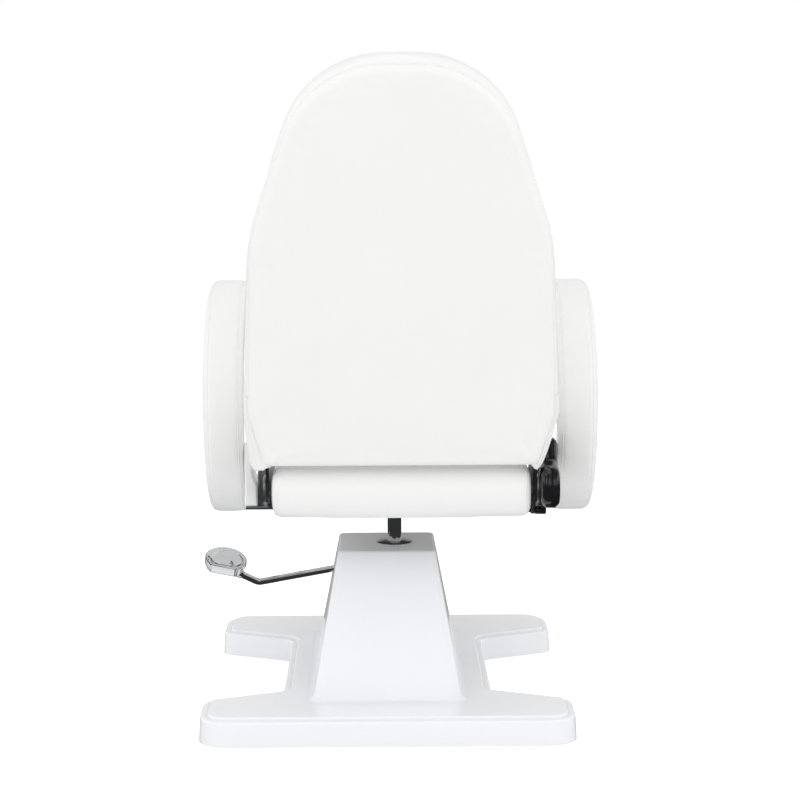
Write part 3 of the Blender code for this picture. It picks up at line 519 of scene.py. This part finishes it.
def seam(obj, line, width, depth, pucker=0.0, reach=0.02, pitch=0.018, seed=0.0):
    """Draws a closed line into a piece as a groove, with small puckers that fade away from it."""
    line = [Vector(p) for p in line]
    tree = KDTree(len(line))
    for i, point in enumerate(line):
        tree.insert(point, i)
    tree.balance()
    points, outward = coordinates(obj.data), normals(obj.data)
    step = (line[1] - line[0]).length
    shift = np.zeros(len(points))
    for i, point in enumerate(points):
        _, index, distance = tree.find(point)
        if distance > reach * 2.5:
            continue
        shift[i] = -depth * math.exp(-((distance / width) ** 2))
        if pucker:
            turn = index * step / pitch
            wave = noise.noise(Vector((turn, seed, 0.0)))
            shift[i] += pucker * wave * math.exp(-((distance / reach) ** 2)) * min(1.0, distance / width)
    set_coordinates(obj.data, points + outward * shift[:, None])


def tube(name, line, radius, material, closed=True, sides=8):
    """A round tube along a line, as a mesh."""
    curve = bpy.data.curves.new(name, "CURVE")
    curve.dimensions = "3D"
    spline = curve.splines.new("POLY")
    spline.points.add(len(line) - 1)
    for spot, point in zip(spline.points, line):
        spot.co = (*point, 1.0)
    spline.use_cyclic_u = closed
    curve.bevel_depth = radius
    curve.bevel_resolution = max(0, sides // 2 - 2)
    curve.use_fill_caps = not closed
    holder = bpy.data.objects.new(name, curve)
    bpy.context.scene.collection.objects.link(holder)
    graph = bpy.context.evaluated_depsgraph_get()
    graph.update()
    mesh = bpy.data.meshes.new_from_object(holder.evaluated_get(graph))
    bpy.data.objects.remove(holder)
    mesh.name = name
    mesh.materials.clear()
    mesh.materials.append(material)
    mesh.shade_smooth()
    made = bpy.data.objects.new(name, mesh)
    bpy.context.scene.collection.objects.link(made)
    return made


def level_line(corners, axis, level, matrix, depth=0.0, gap=0.004):
    """The closed line of an outline at a level along an axis, in the row frame."""
    flat = spaced(rounded(inset(corners, depth) if depth else corners), gap)
    return [matrix @ Vector(on_axis(axis, u, v, level)) for u, v in flat]


# ---------------------------------------------------------------- base cover

BASE_X, BASE_Y = -0.016, 0.020
BASE_WIDTH, BASE_LENGTH = 0.705, 0.855
TIP_INNER, BEAM_ROOT, WEB_HALF = 0.274, 0.208, 0.203
SKIRT_TOP, PANEL_TOP, PANEL_INSET = 0.047, 0.053, 0.016
COLUMN_TOP = 0.305
COLUMN_TOP_HALF, COLUMN_FOOT_HALF, COLUMN_FLARE = (0.0955, 0.096), (0.142, 0.289), 0.012
WALL = 0.004
HOLE_RADIUS = 0.035


def base_ring(depth, z):
    """The H's outline, moved inwards by depth, as evenly spaced points."""
    half_width, half_length = BASE_WIDTH / 2, BASE_LENGTH / 2
    outer_radius, inner_radius = 0.055, 0.034
    right = [(half_width, -half_length, outer_radius), (half_width, -TIP_INNER, inner_radius),
             (WEB_HALF, -BEAM_ROOT, inner_radius), (WEB_HALF, BEAM_ROOT, inner_radius),
             (half_width, TIP_INNER, inner_radius), (half_width, half_length, outer_radius)]
    outline = rounded(inset(mirrored(right), depth), 10)
    return [(BASE_X + u, BASE_Y + v, z) for u, v in outline]


def column_ring(z, out=0.0):
    """The column's outline at a height, moved outwards by out."""
    share = (COLUMN_TOP - z) / (COLUMN_TOP - PANEL_TOP)
    half_x, half_y = (top + (foot - top) * share + out
                      for top, foot in zip(COLUMN_TOP_HALF, COLUMN_FOOT_HALF))
    radius = 0.010 + 0.012 * share + max(0.0, out)
    corners = mirrored([(half_x, -half_y, radius), (half_x, half_y, radius)])
    return [(BASE_X + u, v, z) for u, v in rounded(corners, 8)]


def arc_levels(radius, steps):
    """(rise, reach) along a quarter circle, from its foot to its top."""
    angles = [math.pi / 2 * k / steps for k in range(steps + 1)]
    return [(radius * math.sin(a), radius * (1 - math.cos(a))) for a in angles]


def add_rings(bm, rings):
    loops = [[bm.verts.new(point) for point in ring] for ring in rings]
    count = len(loops[0])
    for low, high in zip(loops, loops[1:]):
        for k in range(count):
            bm.faces.new((low[k], low[(k + 1) % count], high[(k + 1) % count], high[k]))
    return loops[0], loops[-1]


def fill_between(bm, first, second):
    """Triangles of a flat face between two closed loops."""
    edges = []
    for loop in (first, second):
        for k, vert in enumerate(loop):
            other = loop[(k + 1) % len(loop)]
            edges.append(bm.edges.get((vert, other)) or bm.edges.new((vert, other)))
    bmesh.ops.triangle_fill(bm, use_beauty=True, edges=edges)


def cover_skin(bm, wall):
    """One face of the moulding: skirt, ledge, panel, flare, column and top; wall moves it inwards."""
    foot = 0.0004
    skirt = [(foot, 0.0), (SKIRT_TOP - 0.0065 - wall, 0.0022)]
    skirt += [(SKIRT_TOP - 0.0045 - wall + rise, 0.0025 + reach) for rise, reach in arc_levels(0.0045, 5)]
    skirt += [(SKIRT_TOP - wall, PANEL_INSET - 0.004), (SKIRT_TOP + 0.0006 - wall, PANEL_INSET - 0.0018)]
    panel_edge_radius = 0.0032
    skirt += [(PANEL_TOP - panel_edge_radius - wall + rise, PANEL_INSET - 0.0005 + reach)
              for rise, reach in arc_levels(panel_edge_radius, 5)]
    skirt.append((PANEL_TOP - wall, PANEL_INSET + 0.006))
    rings = [base_ring(depth + wall, z) for z, depth in skirt]
    bottom, panel_edge = add_rings(bm, rings)
    flare_angles = [math.radians(15 * k) for k in range(7)]
    levels = [(PANEL_TOP - wall, COLUMN_FLARE + 0.003)]
    levels += [(PANEL_TOP - wall + COLUMN_FLARE - COLUMN_FLARE * math.cos(a), COLUMN_FLARE * (1 - math.sin(a)))
               for a in flare_angles]
    top_edge = 0.004
    climb = COLUMN_TOP - PANEL_TOP - COLUMN_FLARE - top_edge
    levels += [(PANEL_TOP - wall + COLUMN_FLARE + climb * k / 6, 0.0) for k in range(1, 7)]
    levels += [(COLUMN_TOP - wall - top_edge + rise, -reach) for rise, reach in arc_levels(top_edge, 6)]
    levels.append((COLUMN_TOP - wall, -top_edge - 0.003))
    column = [column_ring(z, out - wall) for z, out in levels]
    foot_loop, top_loop = add_rings(bm, column)
    fill_between(bm, panel_edge, foot_loop)
    return bottom, top_loop


def make_cover():
    bm = bmesh.new()
    outer_bottom, outer_top = cover_skin(bm, 0.0)
    inner_bottom, inner_top = cover_skin(bm, WALL)
    lip = 0.0016
    levels = [(HOLE_RADIUS + lip + 0.003, COLUMN_TOP)]
    levels += [(HOLE_RADIUS + lip - rise, COLUMN_TOP - reach) for rise, reach in arc_levels(lip, 4)]
    levels += [(HOLE_RADIUS, COLUMN_TOP - WALL)]
    hole_outer, hole_inner = add_rings(bm, [[(x, y, z) for x, y in circle(r, 72)] for r, z in levels])
    fill_between(bm, outer_top, hole_outer)
    fill_between(bm, inner_top, hole_inner)
    count = len(outer_bottom)
    for k in range(count):
        n = (k + 1) % count
        bm.faces.new((outer_bottom[k], outer_bottom[n], inner_bottom[n], inner_bottom[k]))
    cover = new_object("base_cover_shell", bm, ABS, smooth=50)
    slot_low, slot_high = Vector((-0.17, -0.013, 0.196)), Vector((-0.10, 0.013, 0.268))
    corners = [(slot_low.y, slot_low.z, 0.006), (slot_high.y, slot_low.z, 0.006),
               (slot_high.y, slot_high.z, 0.006), (slot_low.y, slot_high.z, 0.006)]
    rings = [[(x, u, v) for u, v in rounded(corners, 4)] for x in (slot_low.x, slot_high.x)]
    cutter = new_object("slot_cutter", loft(rings), ABS)
    cut = cover.modifiers.new("slot", "BOOLEAN")
    cut.operation, cut.solver, cut.object = "DIFFERENCE", "EXACT", cutter
    apply_modifiers(cover)
    bpy.data.objects.remove(cutter)
    cover.data.shade_smooth()
    cover.data.set_sharp_from_angle(angle=math.radians(40))
    return place(cover, "base", "white_abs", "base_cover")


# ---------------------------------------------------------------- seat

SEAT_LOW, SEAT_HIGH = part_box("seat_cushion")
ROLL = (SEAT_HIGH.z - SEAT_LOW.z) / 2
SEAT_HALF = (SEAT_HIGH.x - SEAT_LOW.x) / 2
ROLL_DROOP = 0.0095  # how far the rear roll hangs below the board


def seat_outline(depth=0.0):
    """Side view of the seat: a slab with a roll at each end."""
    radius = ROLL - 0.0003
    corners = [(SEAT_LOW.y, SEAT_LOW.z, radius), (SEAT_HIGH.y, SEAT_LOW.z, radius),
               (SEAT_HIGH.y, SEAT_HIGH.z, radius), (SEAT_LOW.y, SEAT_HIGH.z, radius)]
    return inset(corners, depth) if depth else corners


def droop_roll(cushion):
    """Lets the rear roll's underside hang a little below the board."""
    points = coordinates(cushion.data)
    reach, fade, tall = 0.075, 0.022, 1.3 * ROLL
    behind = np.clip((SEAT_LOW.y + reach - points[:, 1]) / fade, 0, 1)
    low = np.clip((SEAT_LOW.z + tall - points[:, 2]) / tall, 0, 1)
    points[:, 2] -= ROLL_DROOP * (3 * behind ** 2 - 2 * behind ** 3) * (3 * low ** 2 - 2 * low ** 3)
    set_coordinates(cushion.data, points)


def make_seat():
    swell_room = 0.002
    bm = slab_mesh(seat_outline(swell_room), "X", -SEAT_HALF + swell_room, SEAT_HALF - swell_room, 0.016)
    floor_z = SEAT_LOW.z + 0.012
    cushion = upholstered("seat_upholstery", bm, SEAT, 0.0012,
                          lambda p: p.z < floor_z and abs(p.y) < 0.17)
    half, crown = SEAT_HALF - 0.001, 0.004
    fitted(cushion, SEAT, (-half, SEAT_LOW.y, SEAT_LOW.z), (half, SEAT_HIGH.y, SEAT_HIGH.z + crown))
    droop_roll(cushion)
    for name, side in SIDES:
        line = level_line(seat_outline(), "X", side * (SEAT_HALF - 0.013), SEAT, depth=0.004)
        seam(cushion, line, 0.0035, 0.0018, pucker=0.0010, reach=0.016, seed=3.0 + side)
        welt = tube(f"seat_welt_{name}", on_surface(cushion, line, -0.0002), 0.0016, VINYL)
        place(welt, "seat", "white_vinyl")
    place(cushion, "seat", "white_vinyl", "seat_cushion")
    return cushion


# ---------------------------------------------------------------- backrest

BACK_BOTTOM, BACK_TOP = 0.062, 0.832
BACK_FRONT, BACK_MIDDLE, BACK_REAR = 0.044, -0.032, -0.052
CUSHION_HALF, PANEL_HALF = 0.2945, 0.2845  # half widths, at the widest


def back_corners():
    return mirrored([(0.262, BACK_BOTTOM, 0.030), (0.3000, 0.172, 0.100), (0.2855, 0.494, 0.350),
                     (0.174, BACK_TOP, 0.200)])


def back_panel_corners():
    return mirrored([(0.2555, BACK_BOTTOM + 0.004, 0.010), (0.2865, 0.172, 0.050), (0.2765, 0.492, 0.340),
                     (0.169, BACK_TOP - 0.012, 0.192)])


def make_back():
    room = 0.003
    bm = slab_mesh(inset(back_corners(), room), "Y", BACK_MIDDLE + 0.0004, BACK_FRONT - room, 0.022)
    cushion = upholstered("back_upholstery", bm, BACK, 0.0045, lambda p: p.y < BACK_MIDDLE + 0.004)
    fitted(cushion, BACK, (-CUSHION_HALF, BACK_MIDDLE + 0.0004, BACK_BOTTOM),
           (CUSHION_HALF, BACK_FRONT + 0.003, BACK_TOP + 0.003))
    front_seam = level_line(back_corners(), "Y", BACK_FRONT - 0.012, BACK, depth=0.004)
    seam(cushion, front_seam, 0.0035, 0.0020, pucker=0.0014, reach=0.020, seed=1.0)
    welt = tube("back_welt_front", on_surface(cushion, front_seam, -0.0002), 0.0018, VINYL)
    place(welt, "backrest", "white_vinyl")
    place(cushion, "backrest", "white_vinyl", "back_cushion")
    bm = slab_mesh(inset(back_panel_corners(), 0.002), "Y", BACK_REAR + 0.002, BACK_MIDDLE + 0.004, 0.012)
    panel = upholstered("back_panel_upholstery", bm, BACK, 0.0014, lambda p: p.y > BACK_MIDDLE - 0.008,
                        voxel=0.005)
    fitted(panel, BACK, (-PANEL_HALF, BACK_REAR - 0.001, BACK_BOTTOM + 0.003),
           (PANEL_HALF, BACK_MIDDLE + 0.004, BACK_TOP - 0.011))
    place(panel, "backrest", "white_vinyl", "back_panel")


FLAP_TOP, FLAP_HEM = 0.200, 0.0635
# (share of the way down, distance from the middle) of each flap's edges
FLAP_INNER = ((0.0, 0.280), (0.15, 0.279), (1.0, 0.2435))
FLAP_OUTER = {"left": ((0.0, 0.2905), (0.12, 0.2930), (0.25, 0.2950), (0.5, 0.2935), (1.0, 0.2860)),
              "right": ((0.0, 0.2905), (0.12, 0.2950), (0.25, 0.2965), (0.5, 0.2885), (0.75, 0.2785),
                        (0.92, 0.2700), (1.0, 0.2600))}


def between(table, share):
    return float(np.interp(share, *zip(*table)))


def make_flap(name, side):
    """The gathered vinyl at a lower corner of the back, with pleats that fan out towards its hem."""
    rows, columns, pleats = 30, 80, 4.2
    rng = random.Random(11 if side < 0 else 12)
    phase, uneven = rng.uniform(0, 6.28), rng.uniform(0.8, 1.3)
    bm = bmesh.new()
    grid = []
    for i in range(rows + 1):
        s = i / rows
        inner, outer = between(FLAP_INNER, s), between(FLAP_OUTER[name], s)
        row = []
        for j in range(columns + 1):
            t = j / columns
            fold = math.sin(2 * math.pi * pleats * t ** 1.15 + phase + uneven * math.sin(3 * t + 2 * s))
            deep = 0.0030 * s ** 0.8 * (0.6 + 0.4 * math.sin(5 * t + phase)) * (1 - t ** 6)
            wrap = max(0.0, (t - 0.66) / 0.34) ** 2
            x = inner + (outer - inner) * t - 0.0015 * wrap
            y = BACK_MIDDLE - 0.0045 - deep * fold + 0.016 * wrap + 0.007 * (1 - s) ** 3
            hem = FLAP_HEM - 0.0095 * math.sin(math.pi * t / 1.3) + 0.008 * t ** 6
            z = FLAP_TOP + (hem - FLAP_TOP) * s + 0.0012 * s * fold
            row.append(bm.verts.new(BACK @ Vector((side * x, y, z))))
        grid.append(row)
    for low, high in zip(grid, grid[1:]):
        for j in range(columns):
            bm.faces.new((low[j], low[j + 1], high[j + 1], high[j]))
    flap = new_object(f"back_flap_{name}", bm, VINYL, smooth=60)
    thick = flap.modifiers.new("thick", "SOLIDIFY")
    thick.thickness, thick.offset = 0.0014, 0.0
    apply_modifiers(flap)
    flap.data.shade_smooth()
    place(flap, "backrest", "white_vinyl")


# ---------------------------------------------------------------- leg rest

LEG_HALF, LEG_NEAR, LEG_FAR, LEG_UNDER, LEG_TOP = 0.2385, 0.062, 0.4605, -0.0306, 0.044


def leg_corners():
    return mirrored([(0.2410, 0.062, 0.020), (0.2410, 0.330, 0.120), (0.214, 0.460, 0.055)])


def make_leg_rest():
    room = 0.003
    bm = slab_mesh(inset(leg_corners(), room), "Z", LEG_UNDER, LEG_TOP - room, 0.022)
    cushion = upholstered("leg_upholstery", bm, LEG, 0.0060, lambda p: p.z < -0.026)
    fitted(cushion, LEG, (-LEG_HALF, LEG_NEAR, LEG_UNDER), (LEG_HALF, LEG_FAR, LEG_TOP + room))
    line = level_line(leg_corners(), "Z", LEG_TOP - 0.012, LEG, depth=0.004)
    seam(cushion, line, 0.0035, 0.0020, pucker=0.0014, reach=0.020, seed=2.0)
    welt = tube("leg_welt", on_surface(cushion, line, -0.0002), 0.0018, VINYL)
    place(welt, "leg_rest", "white_vinyl")
    place(cushion, "leg_rest", "white_vinyl", "leg_cushion")


# ---------------------------------------------------------------- armrests

ARM_IN, ARM_OUT = 0.3025, 0.3810
ARM_CENTRE = (0.060, 0.594)
ARM_RADIUS, ARM_THICK, ARM_TOP_REACH, ARM_FOOT_REACH = 0.230, 0.065, 0.190, 0.060


def arm_corners(grow=0.0):
    """Side view of an armrest: a C, open to the front, with a long upper leg that droops and a short foot."""
    centre_y, centre_z = ARM_CENTRE
    outer, inner = ARM_RADIUS + grow, ARM_RADIUS - ARM_THICK - grow
    foot, reach = ARM_FOOT_REACH + grow, ARM_TOP_REACH + grow
    bend, droop = 0.075, 0.032
    end = ARM_THICK / 2 + grow - 0.001
    rear = centre_y - outer
    return [
        (rear, centre_z - outer, outer - 0.001), (centre_y + foot, centre_z - outer, end),
        (centre_y + foot, centre_z - inner, end), (centre_y - inner, centre_z - inner, inner - 0.001),
        (centre_y - inner, centre_z + inner, inner - 0.001), (centre_y + bend, centre_z + inner, 0.110),
        (centre_y + reach - 0.006, centre_z + inner - droop, end),
        (centre_y + reach + 0.010, centre_z + outer - droop, end),
        (centre_y + bend, centre_z + outer, 0.170), (rear, centre_z + outer, outer - 0.001),
    ]


def make_arm(name, side):
    body = f"armrest_{name}"
    room = 0.002
    low, high = sorted((side * (ARM_IN + 0.0005), side * (ARM_OUT - room)))
    bm = slab_mesh(arm_corners(-room), "X", low, high, 0.014)
    flat = side * (ARM_IN + 0.004)
    pad = upholstered(f"arm_upholstery_{name}", bm, SEAT, 0.0022, lambda p: (flat - p.x) * side > 0,
                      voxel=0.005)
    node_low, node_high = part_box(f"arm_pad_{name}")
    shift = Vector((SEAT_X, 0, 0))
    fitted(pad, SEAT, node_low - shift - Vector((0, 0, 0.003)), node_high - shift)
    for place_name, level, seed in (("outer", ARM_OUT - 0.010, 5.0), ("inner", ARM_IN + 0.010, 6.0)):
        line = level_line(arm_corners(), "X", side * level, SEAT, depth=0.002)
        seam(pad, line, 0.003, 0.0016, pucker=0.0010, reach=0.014, seed=seed + side)
        welt = tube(f"arm_welt_{name}_{place_name}", on_surface(pad, line, -0.0002), 0.0015, VINYL)
        place(welt, body, "white_vinyl")
    place(pad, body, "white_vinyl", f"arm_pad_{name}")


# ---------------------------------------------------------------- pump pedal

# X and Z of the lever's centre line
PEDAL_PIVOT, LEVER_BEND, LEVER_END = (
    Vector(spot) for spot in ((-0.058, 0.262), (-0.274, 0.2235), (-0.318, 0.2445)))
PAD_CENTRE = Vector((-0.3380, -0.009, 0.2735))
PAD_TURN = (Matrix.Rotation(math.radians(23), 3, "X") @ Matrix.Rotation(math.radians(10), 3, "Y")
            @ Matrix.Rotation(math.radians(-5), 3, "Z"))


def lever_path():
    """The lever's centre line (X, Z) with its bend rounded, and the direction along it at each point."""
    out, up = (LEVER_BEND - PEDAL_PIVOT).normalized(), (LEVER_END - LEVER_BEND).normalized()
    bend_radius = 0.020
    outline = rounded([(*PEDAL_PIVOT, 0), (*LEVER_BEND, bend_radius), (*LEVER_END, 0)], 8)
    arc = [Vector(point) for point in outline[1:-1]]
    points = [PEDAL_PIVOT + out * 0.006, *arc, LEVER_END]
    ways = [out] + [out.lerp(up, k / (len(arc) - 1)).normalized() for k in range(len(arc))] + [up]
    return list(zip(points, ways))


def make_lever():
    """A flat bar on edge, cranked up to the pad, with soft upper edges, and the hub round its pin."""
    section = rounded([(-0.007, -0.006, 0.0008), (0.007, -0.006, 0.0008), (0.007, 0.006, 0.0046),
                       (-0.007, 0.006, 0.0046)], 6)
    rings = [[(point.x + way.y * up, y, point.y - way.x * up) for y, up in section]
             for point, way in lever_path()]
    lever = new_object("pedal_lever_bar", loft(rings), CHROME, smooth=35)
    place(lever, "pedal", "chrome", "pedal_lever")
    profile = [(0.0057, -0.0098), (0.0108, -0.0098), (0.0115, -0.0091), (0.0115, 0.0091), (0.0108, 0.0098),
               (0.0057, 0.0098)]
    hub = turned("pedal_lever_hub", profile, (0.0, 0.0), CHROME, 48)
    middle = Matrix.Translation((PEDAL_PIVOT.x, 0, PEDAL_PIVOT.y))
    hub.data.transform(middle @ Matrix.Rotation(math.pi / 2, 4, "X"))
    place(hub, "pedal", "chrome")


def make_pad():
    """A cast foot pad: straight thick lip at the rear, rounded front, and a dish on top."""
    half_u, half_v, lip_v = 0.0420, 0.0400, -0.0310
    levels = [(0.50, -0.0100, 0.0), (0.84, -0.0118, 0.0060), (0.97, -0.0124, 0.0088), (1.0, -0.0112, 0.0084),
              (1.0, -0.0012, 0.0010), (0.98, 0.0003, 0.0002), (0.94, 0.0008, 0.0), (0.89, 0.0001, 0.0),
              (0.82, -0.0020, 0.0), (0.72, -0.0044, 0.0), (0.58, -0.0066, 0.0), (0.42, -0.0082, 0.0),
              (0.25, -0.0091, 0.0), (0.10, -0.0094, 0.0)]
    rings = []
    for share, height, push in levels:
        ring = []
        for u, v in circle(1.0, 72):
            v = max(v * half_v, lip_v)
            front = min(1.0, max(0.0, (v - lip_v) / 0.022))
            lower = 1 - 0.35 * front if height < -0.009 and share > 0.9 else 1.0
            ring.append(PAD_CENTRE + PAD_TURN @ Vector((u * half_u * share, v * share - push * (1 - front),
                                                        height * lower)))
        rings.append(ring)
    pad = new_object("pedal_pad_casting", loft(rings), CHROME, smooth=42)
    place(pad, "pedal", "chrome", "pedal_pad")
    way = (LEVER_END - LEVER_BEND).normalized()
    along = Vector((way.x, 0, way.y))
    up = Vector((way.y, 0, -way.x))
    start = Vector((LEVER_END.x, 0, LEVER_END.y))
    rings = []
    for reach, half_y, half_up, rise in ((-0.014, 0.0085, 0.0075, 0.0), (-0.004, 0.0095, 0.0085, 0.0005),
                                         (0.008, 0.0130, 0.0095, 0.004), (0.016, 0.0150, 0.0080, 0.009)):
        corners = mirrored([(half_y, -half_up, 0.003), (half_y, half_up, 0.003)])
        centre = start + along * reach + Vector((0, 0, rise))
        rings.append([centre + Vector((0, u, 0)) + up * v for u, v in rounded(corners, 4)])
    socket = new_object("pedal_pad_socket", loft(rings), CHROME, smooth=38)
    place(socket, "pedal", "chrome")


# ---------------------------------------------------------------- camera, light, floor

STUDIO_EVEN, STUDIO_REAR, STUDIO_TOP = 1.39, -0.02, -0.47
FLOOR_GLOW = (0.22, 0.62)  # for other surfaces, and to the eye


def light_path(tree, kind):
    return node(tree, "ShaderNodeLightPath").outputs[kind]


def either(tree, factor, first, second):
    """The first shader node where the factor is 0, and the second where it is 1."""
    return node(tree, "ShaderNodeMixShader", [("Fac", factor), (1, first.outputs[0]), (2, second.outputs[0])])


def make_stage():
    """A large pale floor: white to the eye, with a soft shadow, and darker in the chrome's reflections."""
    floor = bpy.data.meshes.new("floor")
    span = 40.0
    corners = [(-span, -span, 0), (span, -span, 0), (span, span, 0), (-span, span, 0)]
    floor.from_pydata(corners, [], [(0, 1, 2, 3)])
    made = bpy.data.objects.new("floor", floor)
    bpy.context.scene.collection.objects.link(made)
    pale = bpy.data.materials.new("pale_floor")
    pale.use_nodes = True
    tree = pale.node_tree
    shader = tree.nodes["Principled BSDF"]
    shader.inputs["Base Color"].default_value = (0.62, 0.62, 0.62, 1)
    shader.inputs["Roughness"].default_value = 0.95
    shader.inputs["Specular IOR Level"].default_value = 0.0
    strength = node(tree, "ShaderNodeMapRange", [("Value", light_path(tree, "Is Camera Ray"))])
    strength.inputs["To Min"].default_value, strength.inputs["To Max"].default_value = FLOOR_GLOW
    glow = node(tree, "ShaderNodeEmission", [("Strength", strength.outputs["Result"])], Color=(1, 1, 1, 1))
    both = node(tree, "ShaderNodeAddShader", [(0, shader.outputs[0]), (1, glow.outputs[0])])
    dark = node(tree, "ShaderNodeBsdfDiffuse", Color=(0.03, 0.03, 0.03, 1))
    seen = either(tree, light_path(tree, "Is Glossy Ray"), both, dark)
    tree.links.new(seen.outputs[0], tree.nodes["Material Output"].inputs["Surface"])
    floor.materials.append(pale)


def make_world():
    """White to the eye, an even studio to matt surfaces, and soft boxes with dark gaps to shiny ones."""
    world = bpy.data.worlds.new("studio")
    bpy.context.scene.world = world
    world.use_nodes = True
    tree = world.node_tree
    tree.nodes.clear()
    direction = node(tree, "ShaderNodeTexCoord").outputs["Generated"]
    parts = node(tree, "ShaderNodeSeparateXYZ", [("Vector", direction)])
    rear = node(tree, "ShaderNodeMath", [(0, parts.outputs["Y"])], operation="MULTIPLY_ADD")
    rear.inputs[1].default_value, rear.inputs[2].default_value = -STUDIO_REAR, STUDIO_EVEN
    light = node(tree, "ShaderNodeMath", [(0, parts.outputs["Z"]), (2, rear.outputs[0])],
                 operation="MULTIPLY_ADD")
    light.inputs[1].default_value = STUDIO_TOP
    studio = node(tree, "ShaderNodeBackground", [("Color", light.outputs[0])], Strength=1.0)
    height = node(tree, "ShaderNodeValToRGB", [("Fac", parts.outputs["Z"])])
    stops = height.color_ramp.elements
    stops[0].position, stops[0].color = 0.03, (0.04, 0.04, 0.045, 1)
    stops[1].position, stops[1].color = 0.80, (0.20, 0.205, 0.21, 1)
    middle = stops.new(0.30)
    middle.color = (0.85, 0.86, 0.88, 1)
    panels = node(tree, "ShaderNodeTexWave", [("Vector", direction)], Scale=0.7, Distortion=2.5, Detail=1.5,
                  Phase_Offset=3.1)
    boxes = ramp(tree, panels.outputs["Fac"], 0.42, 0.58, (0.08, 0.085, 0.09), (1.0, 1.0, 1.0))
    shiny = node(tree, "ShaderNodeVectorMath", [(0, height.outputs[0]), (1, boxes)], operation="MULTIPLY")
    ahead = node(tree, "ShaderNodeMapRange", [("Value", parts.outputs["Y"])], interpolation_type="SMOOTHSTEP")
    ahead.inputs["From Min"].default_value, ahead.inputs["From Max"].default_value = 0.0, 0.5
    low = node(tree, "ShaderNodeMapRange", [("Value", parts.outputs["Z"])], interpolation_type="SMOOTHSTEP")
    low.inputs["From Min"].default_value, low.inputs["From Max"].default_value = 0.6, 0.35
    far_wall = node(tree, "ShaderNodeMath", [(0, ahead.outputs["Result"]), (1, low.outputs["Result"])],
                    operation="MULTIPLY")
    mirrored_room = mixed(tree, far_wall.outputs[0], shiny.outputs[0], (0.56, 0.56, 0.56))
    gaps = node(tree, "ShaderNodeBackground", [("Color", mirrored_room)], Strength=1.1)
    white = node(tree, "ShaderNodeBackground", Color=(1, 1, 1, 1), Strength=1.0)
    glossy = either(tree, light_path(tree, "Is Glossy Ray"), studio, gaps)
    both = either(tree, light_path(tree, "Is Camera Ray"), glossy, white)
    node(tree, "ShaderNodeOutputWorld", [("Surface", both.outputs[0])])


def area_light(name, location, target, size, power):
    data = bpy.data.lights.new(name, "AREA")
    data.shape = "RECTANGLE"
    data.size, data.size_y = size
    data.energy = power
    lamp = bpy.data.objects.new(name, data)
    lamp.location = location
    lamp.rotation_euler = (Vector(target) - Vector(location)).to_track_quat("-Z", "Y").to_euler()
    bpy.context.scene.collection.objects.link(lamp)


def make_camera():
    data = bpy.data.cameras.new("camera")
    data.sensor_width = 36.0
    data.lens = CAMERA_LENS
    data.clip_end = 100.0
    camera = bpy.data.objects.new("camera", data)
    turn = Matrix.Rotation(CAMERA_TURN, 4, "Z")
    aim = Matrix.Rotation(math.pi / 2 - CAMERA_PITCH, 4, "X") @ Matrix.Rotation(CAMERA_ROLL, 4, "Z")
    camera.matrix_world = turn @ Matrix.Translation(CAMERA_PLACE) @ aim
    bpy.context.scene.collection.objects.link(camera)
    bpy.context.scene.camera = camera


make_camera()
make_world()
make_stage()
area_light("key", (-2.2, -4.0, 3.2), (0, 0, 0.6), (2.2, 2.2), 7)
area_light("fill", (2.6, -3.2, 1.8), (0, 0, 0.6), (1.6, 2.2), 3)
bpy.context.scene.view_settings.view_transform = "Standard"

make_cover()
make_seat()
make_back()
make_leg_rest()
make_lever()
make_pad()
for side_name, side_sign in SIDES:
    make_arm(side_name, side_sign)
    make_flap(side_name, side_sign)
shown = {name for obj in bpy.data.objects for name in obj.get("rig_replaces", [])}
for name in frame["nodes"]:
    if name not in shown:
        piece = refined(name, bevel=0.0 if "spring" in name else 0.0006)
        if name == "plunger_spring":
            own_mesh(piece)
